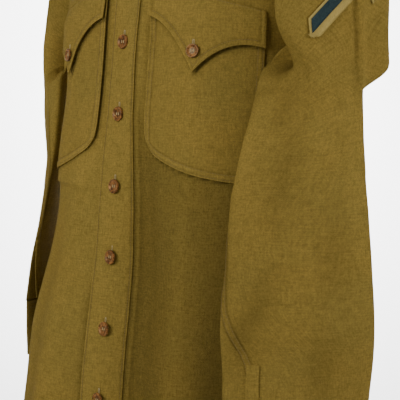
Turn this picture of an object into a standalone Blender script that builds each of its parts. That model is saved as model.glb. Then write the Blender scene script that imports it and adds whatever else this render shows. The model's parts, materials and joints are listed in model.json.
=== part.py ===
"""Wool military shirt in its worn shape, hollow, with long sleeves and two chest pockets.

Metres, +Z up. The wearer faces -Y, and the wearer's left is +X. The origin is midway
between the shoulders, at the height of the neck points. A panel is drawn in cloth
coordinates: across is the distance round the body from the centre front (the wearer's
left is positive), and level is the height.
"""
import math
from collections import namedtuple

import bmesh
import bpy
from mathutils import Matrix, Vector

# Cloth and gaps
WALL = 0.0016
SEAM_GAP = 0.0004
LAY_GAP = 0.0010
BUTTON_GAP = 0.0004
FLAP_BUTTON_GAP = 0.0007
ARMHOLE_GAP = 0.0019
UNDERLAP_STEP = 0.0026

# Body of the shirt
HEM_LEVEL = -0.790
SQUARE_ROWS_TOP = -0.190
SHOULDER_DROP = 0.050
SHOULDER_X = 0.200
DROP_STARTS_AT = 0.050
DROP_MOST = 1.2
NECK_HALF = 0.068
FRONT_NECK_DEPTH = 0.080
BACK_NECK_DEPTH = 0.020
FRONT_EDGE = 0.021
UNDERLAP_FROM = -0.060
UNDERLAP_OVER = 0.030

# The panels' grids: square rows up to SQUARE_ROWS_TOP, rows that follow the neckline
# above it, columns at fixed distances from the centre and columns shared out to the edge
SQUARE_ROWS = 26
TOP_ROW_SHARES = (0.14, 0.29, 0.45, 0.61, 0.76, 0.89, 1.0)
LEFT_COLUMNS = (-0.021, -0.007, 0.007, 0.021, 0.034, 0.048, 0.068, 0.088, 0.107, 0.127,
                0.147, 0.166, 0.184)
RIGHT_COLUMNS = (-0.018,) + LEFT_COLUMNS[1:]
OUTER_SHARES = (0.25, 0.5, 0.75, 1.0)
OUTER_STRIP_LEAST = 0.012
BACK_COLUMNS_A_SIDE = 9
SECTION_SAMPLES = 72
NORMAL_STEP = 0.006

# Sections of the body, top to bottom. right and left are half widths, front and back are
# depths, square is the roundness of each side (2 is an ellipse), and arm_front and
# arm_back say how far from the side line the armhole has cut the panels away.
Section = namedtuple("Section", "level right left front back square arm_front arm_back")
BODY = (
    Section(0.000, 0.203, 0.203, 0.0011, 0.0011, 8.0, 0.0009, 0.0009),
    Section(-0.020, 0.200, 0.200, 0.040, 0.046, 3.4, 0.022, 0.024),
    Section(-0.050, 0.195, 0.195, 0.064, 0.070, 2.8, 0.036, 0.042),
    Section(-0.090, 0.190, 0.190, 0.085, 0.088, 2.6, 0.046, 0.054),
    Section(-0.140, 0.186, 0.182, 0.102, 0.100, 2.5, 0.052, 0.062),
    Section(-0.200, 0.184, 0.174, 0.112, 0.106, 2.5, 0.052, 0.062),
    Section(-0.250, 0.181, 0.168, 0.118, 0.108, 2.5, 0.038, 0.044),
    Section(-0.285, 0.178, 0.165, 0.122, 0.108, 2.4, 0.000, 0.000),
    Section(-0.340, 0.174, 0.163, 0.128, 0.106, 2.4, 0.000, 0.000),
    Section(-0.430, 0.172, 0.166, 0.134, 0.104, 2.3, 0.000, 0.000),
    Section(-0.520, 0.178, 0.170, 0.144, 0.104, 2.2, 0.000, 0.000),
    Section(-0.620, 0.190, 0.176, 0.157, 0.106, 2.2, 0.000, 0.000),
    Section(-0.800, 0.208, 0.192, 0.174, 0.114, 2.2, 0.000, 0.000),
)

# Folds of the body. Each runs from one place to another in cloth coordinates, with its
# height (ridges positive, valleys negative) and half width at both ends.
Fold = namedtuple("Fold", "top_across top_level top_height top_width "
                          "end_across end_level end_height end_width")
FOLDS = (
    # The big ridge of the right front, from the placket out to the side
    Fold(-0.036, -0.320, 0.000, 0.024, -0.056, -0.470, 0.014, 0.030),
    Fold(-0.056, -0.470, 0.014, 0.030, -0.066, -0.800, 0.032, 0.034),
    Fold(-0.120, -0.300, 0.000, 0.040, -0.130, -0.430, 0.012, 0.046),
    Fold(-0.130, -0.430, 0.012, 0.046, -0.135, -0.600, 0.031, 0.046),
    Fold(-0.135, -0.600, 0.031, 0.046, -0.140, -0.800, 0.035, 0.048),
    # The narrow trough between that ridge and the placket's free edge
    Fold(-0.030, -0.540, 0.000, 0.008, -0.030, -0.800, -0.006, 0.009),
    # The chest at the placket leans to the wearer's right
    Fold(0.026, -0.150, 0.000, 0.014, 0.022, -0.270, 0.005, 0.014),
    Fold(0.022, -0.270, 0.005, 0.014, 0.020, -0.400, 0.000, 0.014),
    # The valley between the placket's strip and the left pocket, down to the hem
    Fold(0.036, -0.150, -0.002, 0.010, 0.035, -0.340, -0.006, 0.010),
    Fold(0.035, -0.340, -0.006, 0.010, 0.038, -0.520, -0.020, 0.018),
    Fold(0.038, -0.520, -0.020, 0.018, 0.038, -0.800, -0.024, 0.020),
    # The fullness of the left pocket and the panel below it
    Fold(0.098, -0.190, 0.004, 0.022, 0.098, -0.420, 0.005, 0.022),
    Fold(0.098, -0.420, 0.005, 0.022, 0.102, -0.800, 0.008, 0.030),
    Fold(0.165, -0.420, 0.000, 0.022, 0.170, -0.800, -0.010, 0.026),
    # The right pocket's fullness, and the hollow at the wearer's right side
    Fold(-0.098, -0.190, 0.006, 0.030, -0.105, -0.420, 0.004, 0.030),
    Fold(-0.190, -0.350, 0.000, 0.024, -0.200, -0.800, -0.010, 0.028),
    # Loose folds down the back
    Fold(0.400, -0.250, 0.000, 0.030, 0.385, -0.800, 0.016, 0.032),
    Fold(-0.400, -0.250, 0.000, 0.030, -0.385, -0.800, 0.014, 0.034),
    Fold(0.465, -0.300, 0.000, 0.024, 0.455, -0.800, -0.010, 0.028),
)

# Sleeve sections, top to bottom, for the wearer's left. The long side lies along axis
# degrees in plan, seam_turn says how far the underarm seam has turned from the front
# edge towards the outer face, and tilt is how much lower the underarm side is.
Ring = namedtuple("Ring", "level x y half_long half_thick axis seam_turn tilt")
SLEEVE = (
    Ring(-0.262, 0.1985, -0.052, 0.0510, 0.0240, 34.0, -52.0, 0.045),
    Ring(-0.310, 0.1985, -0.056, 0.0545, 0.0210, 33.0, -46.0, 0.030),
    Ring(-0.360, 0.1985, -0.061, 0.0595, 0.0200, 33.0, -36.0, 0.012),
    Ring(-0.430, 0.2000, -0.067, 0.0675, 0.0200, 35.0, -24.0, 0.000),
    Ring(-0.520, 0.2060, -0.0745, 0.0745, 0.0200, 42.0, -4.0, 0.000),
    Ring(-0.570, 0.2080, -0.0765, 0.0765, 0.0200, 48.0, 28.0, 0.000),
    Ring(-0.636, 0.2070, -0.0775, 0.0755, 0.0205, 55.0, 50.0, 0.000),
)
CUFF = (
    Ring(-0.637, 0.2070, -0.0775, 0.0735, 0.0215, 55.0, 50.0, 0.000),
    Ring(-0.670, 0.2060, -0.0780, 0.0700, 0.0225, 57.0, 54.0, 0.000),
    Ring(-0.705, 0.2050, -0.0785, 0.0670, 0.0235, 58.0, 56.0, 0.000),
)
SLEEVE_AROUND = 20
SLEEVE_HEAD_ROWS = 6
SLEEVE_ROW_STEP = 0.027
SLEEVE_EDGE_SHARPNESS = 1.25
CUFF_ROWS = 3
ARMHOLE_BOTTOM = -0.285
# How strongly the cloth leaves the armhole (outwards, more at the shoulder fold and at
# the underarm, and forwards) and comes down into the tube
HEAD_LEAVES_OUT = 0.050
HEAD_LEAVES_OUT_AT_FOLD = 0.070
HEAD_LEAVES_OUT_UNDER = 0.060
HEAD_LEAVES_FORWARD = 0.090
HEAD_ARRIVES_DOWN = 0.060
HEAD_ARRIVES_DOWN_AT_FOLD = 0.140
# How each arm is held: its cuff raised, its tube moved out (above and below) and back,
# turned, pressed flat, and its share of loose cloth
Arm = namedtuple("Arm", "raise_by out_above out_below move_back turn thickness fullness")
ARMS = {
    "left": Arm(0.0, 0.0, 0.0, 0.0, 0.0, 1.0, 1.0),
    "right": Arm(0.068, 0.017, 0.001, 0.008, 6.0, 0.52, 0.20),
}
ARM_BENDS_FROM = -0.300
ARM_BENDS_OVER = 0.250
# The sleeve's loose cloth: how far it hangs out at most, at what turn and level, how
# far it spreads round, above and below, and its direction
Fullness = namedtuple("Fullness", "size turn spread level above below x y")
SLEEVE_FULLNESS = (
    Fullness(0.068, -68.0, 23.0, -0.286, 0.120, 0.022, 0.66, 0.75),
    Fullness(0.038, 116.0, 32.0, -0.245, 0.070, 0.034, 0.04, -0.99),
)
HEAD_SEAM_SPAN = 0.050

# Pockets, in cloth coordinates on the wearer's left front. A pocket hangs lower at its
# outer side by POCKET_DROOP.
POCKET_INNER = 0.035
POCKET_OUTER = 0.167
POCKET_TOP = -0.212
POCKET_BOTTOM = -0.372
POCKET_DROOP = 0.036
POCKET_CORNER = 0.016
POCKET_EDGE_COLUMN = 0.006
POCKET_ROWS = 8
COLUMN_CLEAR = 0.004
FLAP_TOP = -0.197
FLAP_SIDE = 0.037
FLAP_POINT_DROP = 0.044
FLAP_POINT_SHARE = 0.47
FLAP_ARC_POWER = 2.4
FLAP_LIFT = 0.0022
FLAP_BUTTON_UP = 0.022
FLAP_POINT_COLUMN = 0.008
FLAP_SHARES = (0.0, 0.14, 0.28, 0.46, 0.64, 0.82, 1.0)
FLAP_RISE_SHARE = 0.28

# Buttons
BUTTON_LEVELS = (-0.107, -0.184, -0.261, -0.338, -0.416, -0.493, -0.571, -0.648)
BUTTON_RADIUS = 0.0080
BUTTON_THICK = 0.0030
BUTTON_SIDES = 14
SMALL_BUTTON_RADIUS = 0.0072
# A button's profile, as shares of its radius and its thickness
BUTTON_PROFILE = ((0.0, 0.0), (0.80, 0.0), (1.0, 0.45), (0.94, 1.0), (0.74, 1.0),
                  (0.58, 0.6), (0.0, 0.6))

# Collar
STAND_HEIGHT = 0.030
STAND_LEAN = 0.006
STAND_OVERLAP = 0.013
STAND_RISE = 0.0022
STAND_LAP = 0.0016
STAND_LAP_SHARE = 0.25
NECK_FRONT_STEPS = 8
NECK_BACK_STEPS = 12
NECK_CENTRE_Y = -0.012
COLLAR_BUTTON_COLUMN = 1
# The leaf's roll over the stand (out, up), then its fall, which is longer and spreads
# wider towards the front
LEAF_STARTS_AT = 2
LEAF_ROLL = ((0.000, 0.0006), (0.001, 0.0050), (0.005, 0.0076), (0.009, 0.0040))
LEAF_FALL_SHARES = (0.3, 0.6, 1.0)
LEAF_BACK = 0.029
LEAF_FRONT = 0.058
LEAF_SPREAD_BACK = 0.018
LEAF_SPREAD_FRONT = 0.030
LEAF_GROWS_FROM = 0.45

# Strips at the sleeve openings, and the cuff buttons
STRIP_TOP = {"left": -0.580, "right": -0.560}
STRIP_ROWS = 5
STRIP_END_GAP = 0.001
STRIP_GAP = {"left": 0.0008, "right": 0.0013}
STRIP_TURNS = {"left": (96.5, 101.0, 105.5), "right": (168.0, 180.0, 186.0)}
STRIP_LEAN = {"left": 6.0, "right": 0.0}
CUFF_BUTTON_TURN = {"left": 118.0, "right": 198.0}

# Chevron patch on the left sleeve
CHEVRON_APEX_LEVEL = -0.183
CHEVRON_SLOPE = 0.92
CHEVRON_ARM_WIDTH = 0.028
CHEVRON_REACH = 0.068
CHEVRON_WALL = 0.0012
CHEVRON_GAP = 0.0007
CHEVRON_TURNS = (-54.0, -36.0, -18.0, 0.0, 18.0, 36.0, 54.0, 72.0, 90.0)
CHEVRON_LEVEL_TRIES = 5

COLOURS = {
    "wool": (0.27, 0.17, 0.045, 1.0),
    "button": (0.10, 0.045, 0.015, 1.0),
    "patch": (0.42, 0.30, 0.14, 1.0),
}
ROUGHNESS = {"wool": 0.92, "button": 0.35, "patch": 0.9}
SHARP_DEGREES = 40.0
TINY = 1e-9


def clamp(value, low=0.0, high=1.0):
    return max(low, min(high, value))


def ease(value):
    value = clamp(value)
    return value * value * (3.0 - 2.0 * value)


def blend(a, b, t):
    return a + (b - a) * t


def table_row(table, level):
    """The table's columns at a level, joined smoothly from row to row."""
    levels = [row.level for row in table]
    if level >= levels[0]:
        return table[0]
    if level <= levels[-1]:
        return table[-1]
    index = next(i for i in range(len(table) - 1) if levels[i + 1] <= level)
    before = table[max(index - 1, 0)]
    first, second = table[index], table[index + 1]
    after = table[min(index + 2, len(table) - 1)]
    span = second.level - first.level
    t = (level - first.level) / span
    columns = []
    for a, p, q, b in zip(before, first, second, after):
        slope_p = (q - a) / (second.level - before.level) * span
        slope_q = (b - p) / (after.level - first.level) * span
        columns.append((2 * t**3 - 3 * t**2 + 1) * p + (t**3 - 2 * t**2 + t) * slope_p
                       + (3 * t**2 - 2 * t**3) * q + (t**3 - t**2) * slope_q)
    return type(first)(*columns)


# The body's surface

quarter_cache = {}


def shoulder_drop(level, x):
    """How far a row sinks towards the shoulder point."""
    start = SQUARE_ROWS_TOP
    share = ease((level - start) / -start)
    run = (abs(x) - DROP_STARTS_AT) / (SHOULDER_X - DROP_STARTS_AT)
    return SHOULDER_DROP * share * clamp(run, 0.0, DROP_MOST)


def quarter(level, side, front):
    """A quarter of a section, from the centre line to the side: points and lengths."""
    key = (round(level, 6), side, front)
    if key in quarter_cache:
        return quarter_cache[key]
    row = table_row(BODY, level)
    width = row.left if side > 0 else row.right
    depth = row.front if front else row.back
    power = 2.0 / row.square
    points = []
    for i in range(SECTION_SAMPLES + 1):
        angle = 0.5 * math.pi * i / SECTION_SAMPLES
        x = side * width * math.sin(angle) ** power
        y = (-1 if front else 1) * depth * max(math.cos(angle), 0.0) ** power
        points.append(Vector((x, y, level - shoulder_drop(level, x))))
    lengths = [0.0]
    for a, b in zip(points, points[1:]):
        lengths.append(lengths[-1] + (b - a).length)
    quarter_cache[key] = (points, lengths)
    return points, lengths


def half_girth(level, side):
    return quarter(level, side, True)[1][-1] + quarter(level, side, False)[1][-1]


def smooth_body(across, level):
    """The body without folds, at a distance from the centre front."""
    side = 1 if across >= 0 else -1
    distance = abs(across)
    points, lengths = quarter(level, side, True)
    if distance > lengths[-1]:
        distance = half_girth(level, side) - distance
        points, lengths = quarter(level, side, False)
        if distance < 0:
            distance = -distance
            points, lengths = quarter(level, -side, False)
    low, high = 0, len(lengths) - 1
    while high - low > 1:
        middle = (low + high) // 2
        if lengths[middle] <= distance:
            low = middle
        else:
            high = middle
    share = clamp((distance - lengths[low]) / max(lengths[high] - lengths[low], TINY))
    return points[low].lerp(points[high], share)


def fold_height(across, level):
    """How far the folds push the cloth out at a place."""
    height = 0.0
    for fold in FOLDS:
        t = (fold.top_level - level) / (fold.top_level - fold.end_level)
        if t < 0.0 or t > 1.0:
            continue
        centre = blend(fold.top_across, fold.end_across, t)
        width = blend(fold.top_width, fold.end_width, t)
        rise = blend(fold.top_height, fold.end_height, ease(t))
        height += rise * math.exp(-0.5 * ((across - centre) / width) ** 2)
    return height


def body_normal(across, level):
    right = smooth_body(across - NORMAL_STEP, level)
    left = smooth_body(across + NORMAL_STEP, level)
    above = smooth_body(across, min(level + NORMAL_STEP, 0.0))
    below = smooth_body(across, level - NORMAL_STEP)
    return (left - right).cross(above - below).normalized()


def body_point(across, level, out=0.0):
    return smooth_body(across, level) + body_normal(across, level) * (
        fold_height(across, level) + out)


def armhole_across(level, side, front):
    """Where the armhole or the side seam cuts a panel at a level."""
    row = table_row(BODY, level)
    cut = max(row.arm_front if front else row.arm_back, 0.0)
    points, lengths = quarter(level, side, front)
    for i in range(SECTION_SAMPLES, 0, -1):
        if abs(points[i].y) >= cut:
            share = (cut - abs(points[i].y)) / (abs(points[i - 1].y) - abs(points[i].y) + TINY)
            length = blend(lengths[i], lengths[i - 1], clamp(share))
            break
    else:
        length = lengths[-1]
    if front:
        return length
    return half_girth(level, side) - length


# Meshes

def material(kind, name):
    made = bpy.data.materials.new(name)
    made.use_nodes = True
    shader = made.node_tree.nodes["Principled BSDF"]
    shader.inputs["Base Color"].default_value = COLOURS[kind]
    shader.inputs["Roughness"].default_value = ROUGHNESS[kind]
    shader.inputs["Metallic"].default_value = 0.0
    return made


def finish_object(name, mesh, kind):
    thing = bpy.data.objects.new(name, mesh)
    bpy.context.scene.collection.objects.link(thing)
    mesh.materials.append(material(kind, name + "_finish"))
    mesh.shade_smooth()
    mesh.set_sharp_from_angle(angle=math.radians(SHARP_DEGREES))
    return thing


def cloth(name, rows, kind="wool", wall=WALL, closed=False):
    """A wall of cloth whose outer face passes through the rows of points."""
    shape = bmesh.new()
    grid = [[shape.verts.new(point) for point in row] for row in rows]
    count = len(rows[0])
    for lower, upper in zip(grid, grid[1:]):
        for i in range(count if closed else count - 1):
            j = (i + 1) % count
            shape.faces.new((lower[i], lower[j], upper[j], upper[i]))
    mesh = bpy.data.meshes.new(name)
    shape.to_mesh(mesh)
    shape.free()
    thing = finish_object(name, mesh, kind)
    thicken = thing.modifiers.new("Wall", "SOLIDIFY")
    thicken.thickness = wall
    thicken.offset = -1.0
    thicken.use_rim = True
    return thing


def turned(name, profile, sides, place, kind):
    """A closed piece turned about its axis, with profile as (radius, height) pairs."""
    shape = bmesh.new()
    rings = []
    for radius, height in profile:
        if radius == 0.0:
            rings.append([shape.verts.new((0.0, 0.0, height))])
            continue
        rings.append([
            shape.verts.new((radius * math.cos(2 * math.pi * i / sides),
                             radius * math.sin(2 * math.pi * i / sides), height))
            for i in range(sides)])
    for low, high in zip(rings, rings[1:]):
        for i in range(sides):
            j = (i + 1) % sides
            corners = [low[i % len(low)], low[j % len(low)], high[j % len(high)],
                       high[i % len(high)]]
            corners = list(dict.fromkeys(corners))
            shape.faces.new(corners)
    bmesh.ops.recalc_face_normals(shape, faces=shape.faces)
    bmesh.ops.transform(shape, matrix=place, verts=shape.verts)
    mesh = bpy.data.meshes.new(name)
    shape.to_mesh(mesh)
    shape.free()
    return finish_object(name, mesh, kind)


# Body panels

def sign_order(rows, side):
    """Rows that run from right to left, for a panel of either side."""
    return rows if side > 0 else [list(reversed(row)) for row in rows]


def square_levels():
    """The square rows from the hem up to where the rows start to follow the neck."""
    return [blend(HEM_LEVEL, SQUARE_ROWS_TOP, i / SQUARE_ROWS) for i in range(SQUARE_ROWS + 1)]


def top_level(distance, neck_depth):
    """The level of the neckline, or of the shoulder seam beyond it."""
    if distance >= NECK_HALF:
        return -SEAM_GAP
    return -SEAM_GAP - neck_depth * math.sqrt(1.0 - (distance / NECK_HALF) ** 2)


def column_levels(distance, neck_depth):
    """The rows' levels in a column at a distance from the centre line."""
    top = top_level(distance, neck_depth)
    return square_levels() + [blend(SQUARE_ROWS_TOP, top, share) for share in TOP_ROW_SHARES]


def shoulder_levels():
    """The rows' levels beyond the neck, which are straight across."""
    return column_levels(NECK_HALF, 0.0)


def underlap(across):
    """The right front lies this much deeper near the centre, under the left front."""
    return UNDERLAP_STEP * ease((across - UNDERLAP_FROM) / UNDERLAP_OVER)


def drawn_in(distance, edge):
    """A column's distance on a row where the armhole leaves less than its usual place."""
    room = min(edge - OUTER_STRIP_LEAST, LEFT_COLUMNS[-1])
    if distance <= NECK_HALF:
        return distance
    share = (distance - NECK_HALF) / (LEFT_COLUMNS[-1] - NECK_HALF)
    return blend(NECK_HALF, room, share)


class Panel:
    """A panel as a grid of columns and rows, which other pieces can be laid on."""

    def __init__(self, columns, levels):
        self.columns = columns
        self.levels = levels
        self.points = []
        self.normals = []

    def lay(self, across, level, out):
        """The panel's own facets at a place, moved out."""
        c = max(i for i, a in enumerate(self.columns[:-1]) if a <= across + TINY or i == 0)
        r = max(i for i, a in enumerate(self.levels[:-1]) if a <= level + TINY or i == 0)
        u = (across - self.columns[c]) / (self.columns[c + 1] - self.columns[c])
        v = (level - self.levels[r]) / (self.levels[r + 1] - self.levels[r])
        corners = []
        for row in (r, r + 1):
            pair = [self.points[row][i] + self.normals[row][i] * out for i in (c, c + 1)]
            corners.append(pair[0].lerp(pair[1], u))
        return corners[0].lerp(corners[1], v)


def make_front(name, side):
    """One front panel. The right one goes on under the left one's placket."""
    columns = LEFT_COLUMNS if side > 0 else RIGHT_COLUMNS
    panel = Panel(list(columns), square_levels())
    levels = [column_levels(abs(distance), FRONT_NECK_DEPTH) for distance in columns]
    rows = []
    for r, shoulder_level in enumerate(shoulder_levels()):
        edge = armhole_across(shoulder_level, side, True) - SEAM_GAP
        row = []
        normals = []
        for c, distance in enumerate(columns):
            across = side * drawn_in(distance, edge)
            sunk = underlap(across) if side < 0 else 0.0
            row.append(body_point(across, levels[c][r], -sunk))
            normals.append(body_normal(across, levels[c][r]))
        start = min(columns[-1], edge - OUTER_STRIP_LEAST)
        for share in OUTER_SHARES:
            row.append(body_point(side * blend(start, edge, share), shoulder_level))
        rows.append(row)
        panel.points.append(row)
        panel.normals.append(normals)
    cloth(name, sign_order(rows, side))
    return panel


def make_back():
    """The back panel, from the left side seam and armhole round to the right."""
    rows = []
    count = BACK_COLUMNS_A_SIDE
    columns = [(1, i / count) for i in range(count + 1)]
    columns += [(-1, i / count) for i in range(count - 1, -1, -1)]
    for r, shoulder_level in enumerate(shoulder_levels()):
        row = []
        for side, share in columns:
            edge = armhole_across(shoulder_level, side, False) + SEAM_GAP
            from_centre = (half_girth(shoulder_level, side) - edge) * (1.0 - share)
            level = column_levels(from_centre, BACK_NECK_DEPTH)[r]
            row.append(body_point(side * (half_girth(level, side) - from_centre), level))
        rows.append(row)
    cloth("back", rows)


# Placket, pockets and flaps

def make_placket(panel):
    """The strip on the left front's edge, made of the panel's own points."""
    columns = [c for c in panel.columns if c <= FRONT_EDGE]
    rows = []
    for points, normals in zip(panel.points, panel.normals):
        rows.append([points[c] + normals[c] * (WALL + LAY_GAP) for c in range(len(columns))])
    cloth("front_placket", rows)
    placket = Panel(columns, panel.levels)
    placket.points = rows
    placket.normals = panel.normals
    return placket


def pocket_columns():
    """The front's own columns inside the pocket, with the pocket's two edges."""
    first = POCKET_INNER + POCKET_EDGE_COLUMN
    inside = [c for c in LEFT_COLUMNS if first + COLUMN_CLEAR < c < POCKET_OUTER - COLUMN_CLEAR]
    return [POCKET_INNER, first] + inside + [POCKET_OUTER]


def droop(distance):
    return POCKET_DROOP * (distance - POCKET_INNER) / (POCKET_OUTER - POCKET_INNER)


def pocket_bottom(distance):
    """The pocket's lower edge: straight down the inner side, then one long round sweep."""
    share = (distance - POCKET_INNER) / (POCKET_OUTER - POCKET_INNER)
    base = POCKET_BOTTOM - POCKET_DROOP * (1.0 - (1.0 - share) ** 2)
    inset = min(distance - POCKET_INNER, POCKET_OUTER - distance)
    rest = max(POCKET_CORNER - inset, 0.0)
    return base + POCKET_CORNER - math.sqrt(POCKET_CORNER**2 - rest**2)


def make_pocket(name, panel, side):
    out = WALL + LAY_GAP
    rows = []
    for r in range(POCKET_ROWS + 1):
        share = r / POCKET_ROWS
        rows.append([
            panel.lay(c, blend(pocket_bottom(c), POCKET_TOP - droop(c), share), out)
            for c in pocket_columns()])
    cloth(name, sign_order(rows, side))


def flap_bottom(distance):
    """The flap's lower edge: two hollow arcs that meet in a point, like a brace."""
    share = (distance - POCKET_INNER) / (POCKET_OUTER - POCKET_INNER)
    if share < FLAP_POINT_SHARE:
        to_point = share / FLAP_POINT_SHARE
    else:
        to_point = (1.0 - share) / (1.0 - FLAP_POINT_SHARE)
    return FLAP_TOP - droop(distance) - FLAP_SIDE - FLAP_POINT_DROP * to_point**FLAP_ARC_POWER


def flap_columns(middle):
    """The pocket's columns, with three close together at the flap's point."""
    point = [middle - FLAP_POINT_COLUMN, middle, middle + FLAP_POINT_COLUMN]
    clear = FLAP_POINT_COLUMN + COLUMN_CLEAR
    return sorted(point + [c for c in pocket_columns() if abs(c - middle) > clear])


def flap_out(share):
    """How far the flap stands off the front, from its sewn edge down to its free edge."""
    over_pocket = (WALL + 2 * LAY_GAP) * ease(share / FLAP_RISE_SHARE)
    return WALL + LAY_GAP + over_pocket + FLAP_LIFT * share**2


def make_flap(name, panel, side):
    """A pocket flap and the button at its point."""
    middle = blend(POCKET_INNER, POCKET_OUTER, FLAP_POINT_SHARE)
    rows = []
    for share in reversed(FLAP_SHARES):
        row = []
        for c in flap_columns(middle):
            level = blend(FLAP_TOP - droop(c), flap_bottom(c), share)
            row.append(panel.lay(c, level, flap_out(share)))
        rows.append(row)
    cloth(name, sign_order(rows, side))
    top = FLAP_TOP - droop(middle)
    level = flap_bottom(middle) + FLAP_BUTTON_UP
    out = flap_out((top - level) / (top - flap_bottom(middle))) + FLAP_BUTTON_GAP
    normal = place_normal(panel.lay, middle, level, out) * side
    button(name + "_button", panel.lay(middle, level, out), normal, SMALL_BUTTON_RADIUS)


# Sleeves

def sleeve_head(side, count):
    """The armhole's edge as points from the shoulder down the front and up the back."""
    half = count // 2
    points = []
    for i in range(count):
        front = i <= half
        turn = i / half if front else (count - i) / half
        level = ARMHOLE_BOTTOM * 0.5 * (1.0 - math.cos(math.pi * turn))
        level = min(level, -SEAM_GAP)
        across = armhole_across(level, side, front)
        across += ARMHOLE_GAP if front else -ARMHOLE_GAP
        place = body_point(side * across, level)
        points.append(place + Vector((side * ARMHOLE_GAP, 0.0, 0.0)))
    return points


def ring_point(row, side, turn, arm):
    """A sleeve section's point. turn 0 is the shoulder fold, 180 the underarm seam."""
    angle = math.radians(turn + row.seam_turn * seam_share(turn))
    axis = math.radians(row.axis + arm.turn)
    along = Vector((math.cos(axis), math.sin(axis), 0.0))
    outward = Vector((math.sin(axis), -math.cos(axis), 0.0))
    sine = math.sin(angle)
    thick = math.copysign(abs(sine) ** SLEEVE_EDGE_SHARPNESS, sine)
    half_thick = row.half_thick * arm.thickness
    flat = along * (row.half_long * math.cos(angle)) + outward * (half_thick * thick)
    sunk = row.tilt * 0.5 * (1.0 - math.cos(math.radians(turn)))
    bent = ease((ARM_BENDS_FROM - row.level) / ARM_BENDS_OVER)
    move_out = blend(arm.out_above, arm.out_below, bent)
    return Vector((side * (row.x + move_out + flat.x), row.y + arm.move_back + flat.y,
                   row.level - sunk))


def seam_share(turn):
    """The seam turns round the sleeve while the shoulder fold stays where it is."""
    return 0.5 * (1.0 - math.cos(math.radians(turn)))


def sleeve_fullness(side, turn, place, seam, looseness):
    """How far the loose cloth of a sleeve hangs out, in front and behind."""
    moved = Vector((0.0, 0.0, 0.0))
    for full in SLEEVE_FULLNESS:
        turned_by = (turn - full.turn + 180.0) % 360.0 - 180.0
        around = math.exp(-0.5 * (turned_by / full.spread) ** 2)
        reach = full.above if place.z > full.level else full.below
        down = math.exp(-0.5 * ((place.z - full.level) / reach) ** 2)
        clear_of_seam = ease((place - seam).length / HEAD_SEAM_SPAN)
        size = looseness * full.size * around * down * clear_of_seam
        moved += Vector((side * full.x * size, full.y * size, 0.0))
    return place + moved


def head_row(side, t, start, first):
    """A row of the sleeve's head, t of the way from the armhole to the first section."""
    count = len(start)
    row = []
    for i in range(count):
        turn = math.radians(360.0 * i / count)
        at_fold = 0.5 * (1.0 + math.cos(turn))
        forward = max(math.sin(turn), 0.0)
        under = max(-math.sin(turn), 0.0) * (1.0 - at_fold)
        out = HEAD_LEAVES_OUT + HEAD_LEAVES_OUT_AT_FOLD * at_fold
        out += HEAD_LEAVES_OUT_UNDER * under
        leave = Vector((side * out, -HEAD_LEAVES_FORWARD * forward, 0.0))
        down = HEAD_ARRIVES_DOWN + HEAD_ARRIVES_DOWN_AT_FOLD * at_fold
        arrive = Vector((0.0, 0.0, -down))
        row.append(start[i] * (2 * t**3 - 3 * t**2 + 1) + leave * (t**3 - 2 * t**2 + t)
                   + first[i] * (3 * t**2 - 2 * t**3) + arrive * (t**3 - t**2))
    return row


def sleeve_rows(side, arm):
    """Rows of points from the armhole to the cuff."""
    count = SLEEVE_AROUND
    turns = [360.0 * i / count for i in range(count)]
    start = sleeve_head(side, count)
    first = [ring_point(SLEEVE[0], side, turn, arm) for turn in turns]
    rows = []
    for k in range(SLEEVE_HEAD_ROWS + 1):
        rows.append(head_row(side, k / (SLEEVE_HEAD_ROWS + 1), start, first))
    top, bottom = SLEEVE[0].level, SLEEVE[-1].level
    steps = round((top - bottom) / SLEEVE_ROW_STEP)
    for k in range(steps + 1):
        row = table_row(SLEEVE, blend(top, bottom, k / steps))
        rows.append([ring_point(row, side, turn, arm) for turn in turns])
    full = [[sleeve_fullness(side, turn, place, start[i], arm.fullness)
             for i, (turn, place) in enumerate(zip(turns, row))] for row in rows]
    for k, row in enumerate(full[SLEEVE_HEAD_ROWS + 1:]):
        for place in row:
            place.z += arm.raise_by * k / steps
    return full


def make_tube(name, rows, side):
    """A sleeve or cuff from its rows, which run from the top down."""
    upward = list(reversed(rows))
    if side > 0:
        upward = [list(reversed(row)) for row in upward]
    cloth(name, upward, closed=True)


def make_sleeve(side_name, side):
    rows = sleeve_rows(side, ARMS[side_name])
    make_tube(side_name + "_sleeve", rows, side)
    return rows


def make_cuff(side_name, side):
    arm = ARMS[side_name]
    raised = Vector((0.0, 0.0, arm.raise_by))
    count = SLEEVE_AROUND
    rows = []
    for k in range(CUFF_ROWS + 1):
        row = table_row(CUFF, blend(CUFF[0].level, CUFF[-1].level, k / CUFF_ROWS))
        rows.append([ring_point(row, side, 360.0 * i / count, arm) + raised
                     for i in range(count)])
    make_tube(side_name + "_cuff", rows, side)
    return rows


def sleeve_place(rows, turn, level, out):
    """A place on a sleeve's own facets, by turn and level, moved out."""
    count = len(rows[0])
    position = (turn % 360.0) / 360.0 * count
    first = int(position) % count
    found = []
    for i in (first, (first + 1) % count):
        for k in range(len(rows) - 1):
            high, low = rows[k][i], rows[k + 1][i]
            if high.z >= level >= low.z:
                share = (high.z - level) / max(high.z - low.z, TINY)
                normal = sleeve_normal(rows, k, i).lerp(sleeve_normal(rows, k + 1, i), share)
                found.append(high.lerp(low, share) + normal.normalized() * out)
                break
    return found[0].lerp(found[1], position - int(position))


def sleeve_normal(rows, k, i):
    count = len(rows[0])
    around = rows[k][(i + 1) % count] - rows[k][i - 1]
    down = rows[min(k + 1, len(rows) - 1)][i] - rows[max(k - 1, 0)][i]
    normal = around.cross(down).normalized()
    middle = sum(rows[k], Vector()) / count
    return normal if normal.dot(rows[k][i] - middle) > 0.0 else -normal


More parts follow.
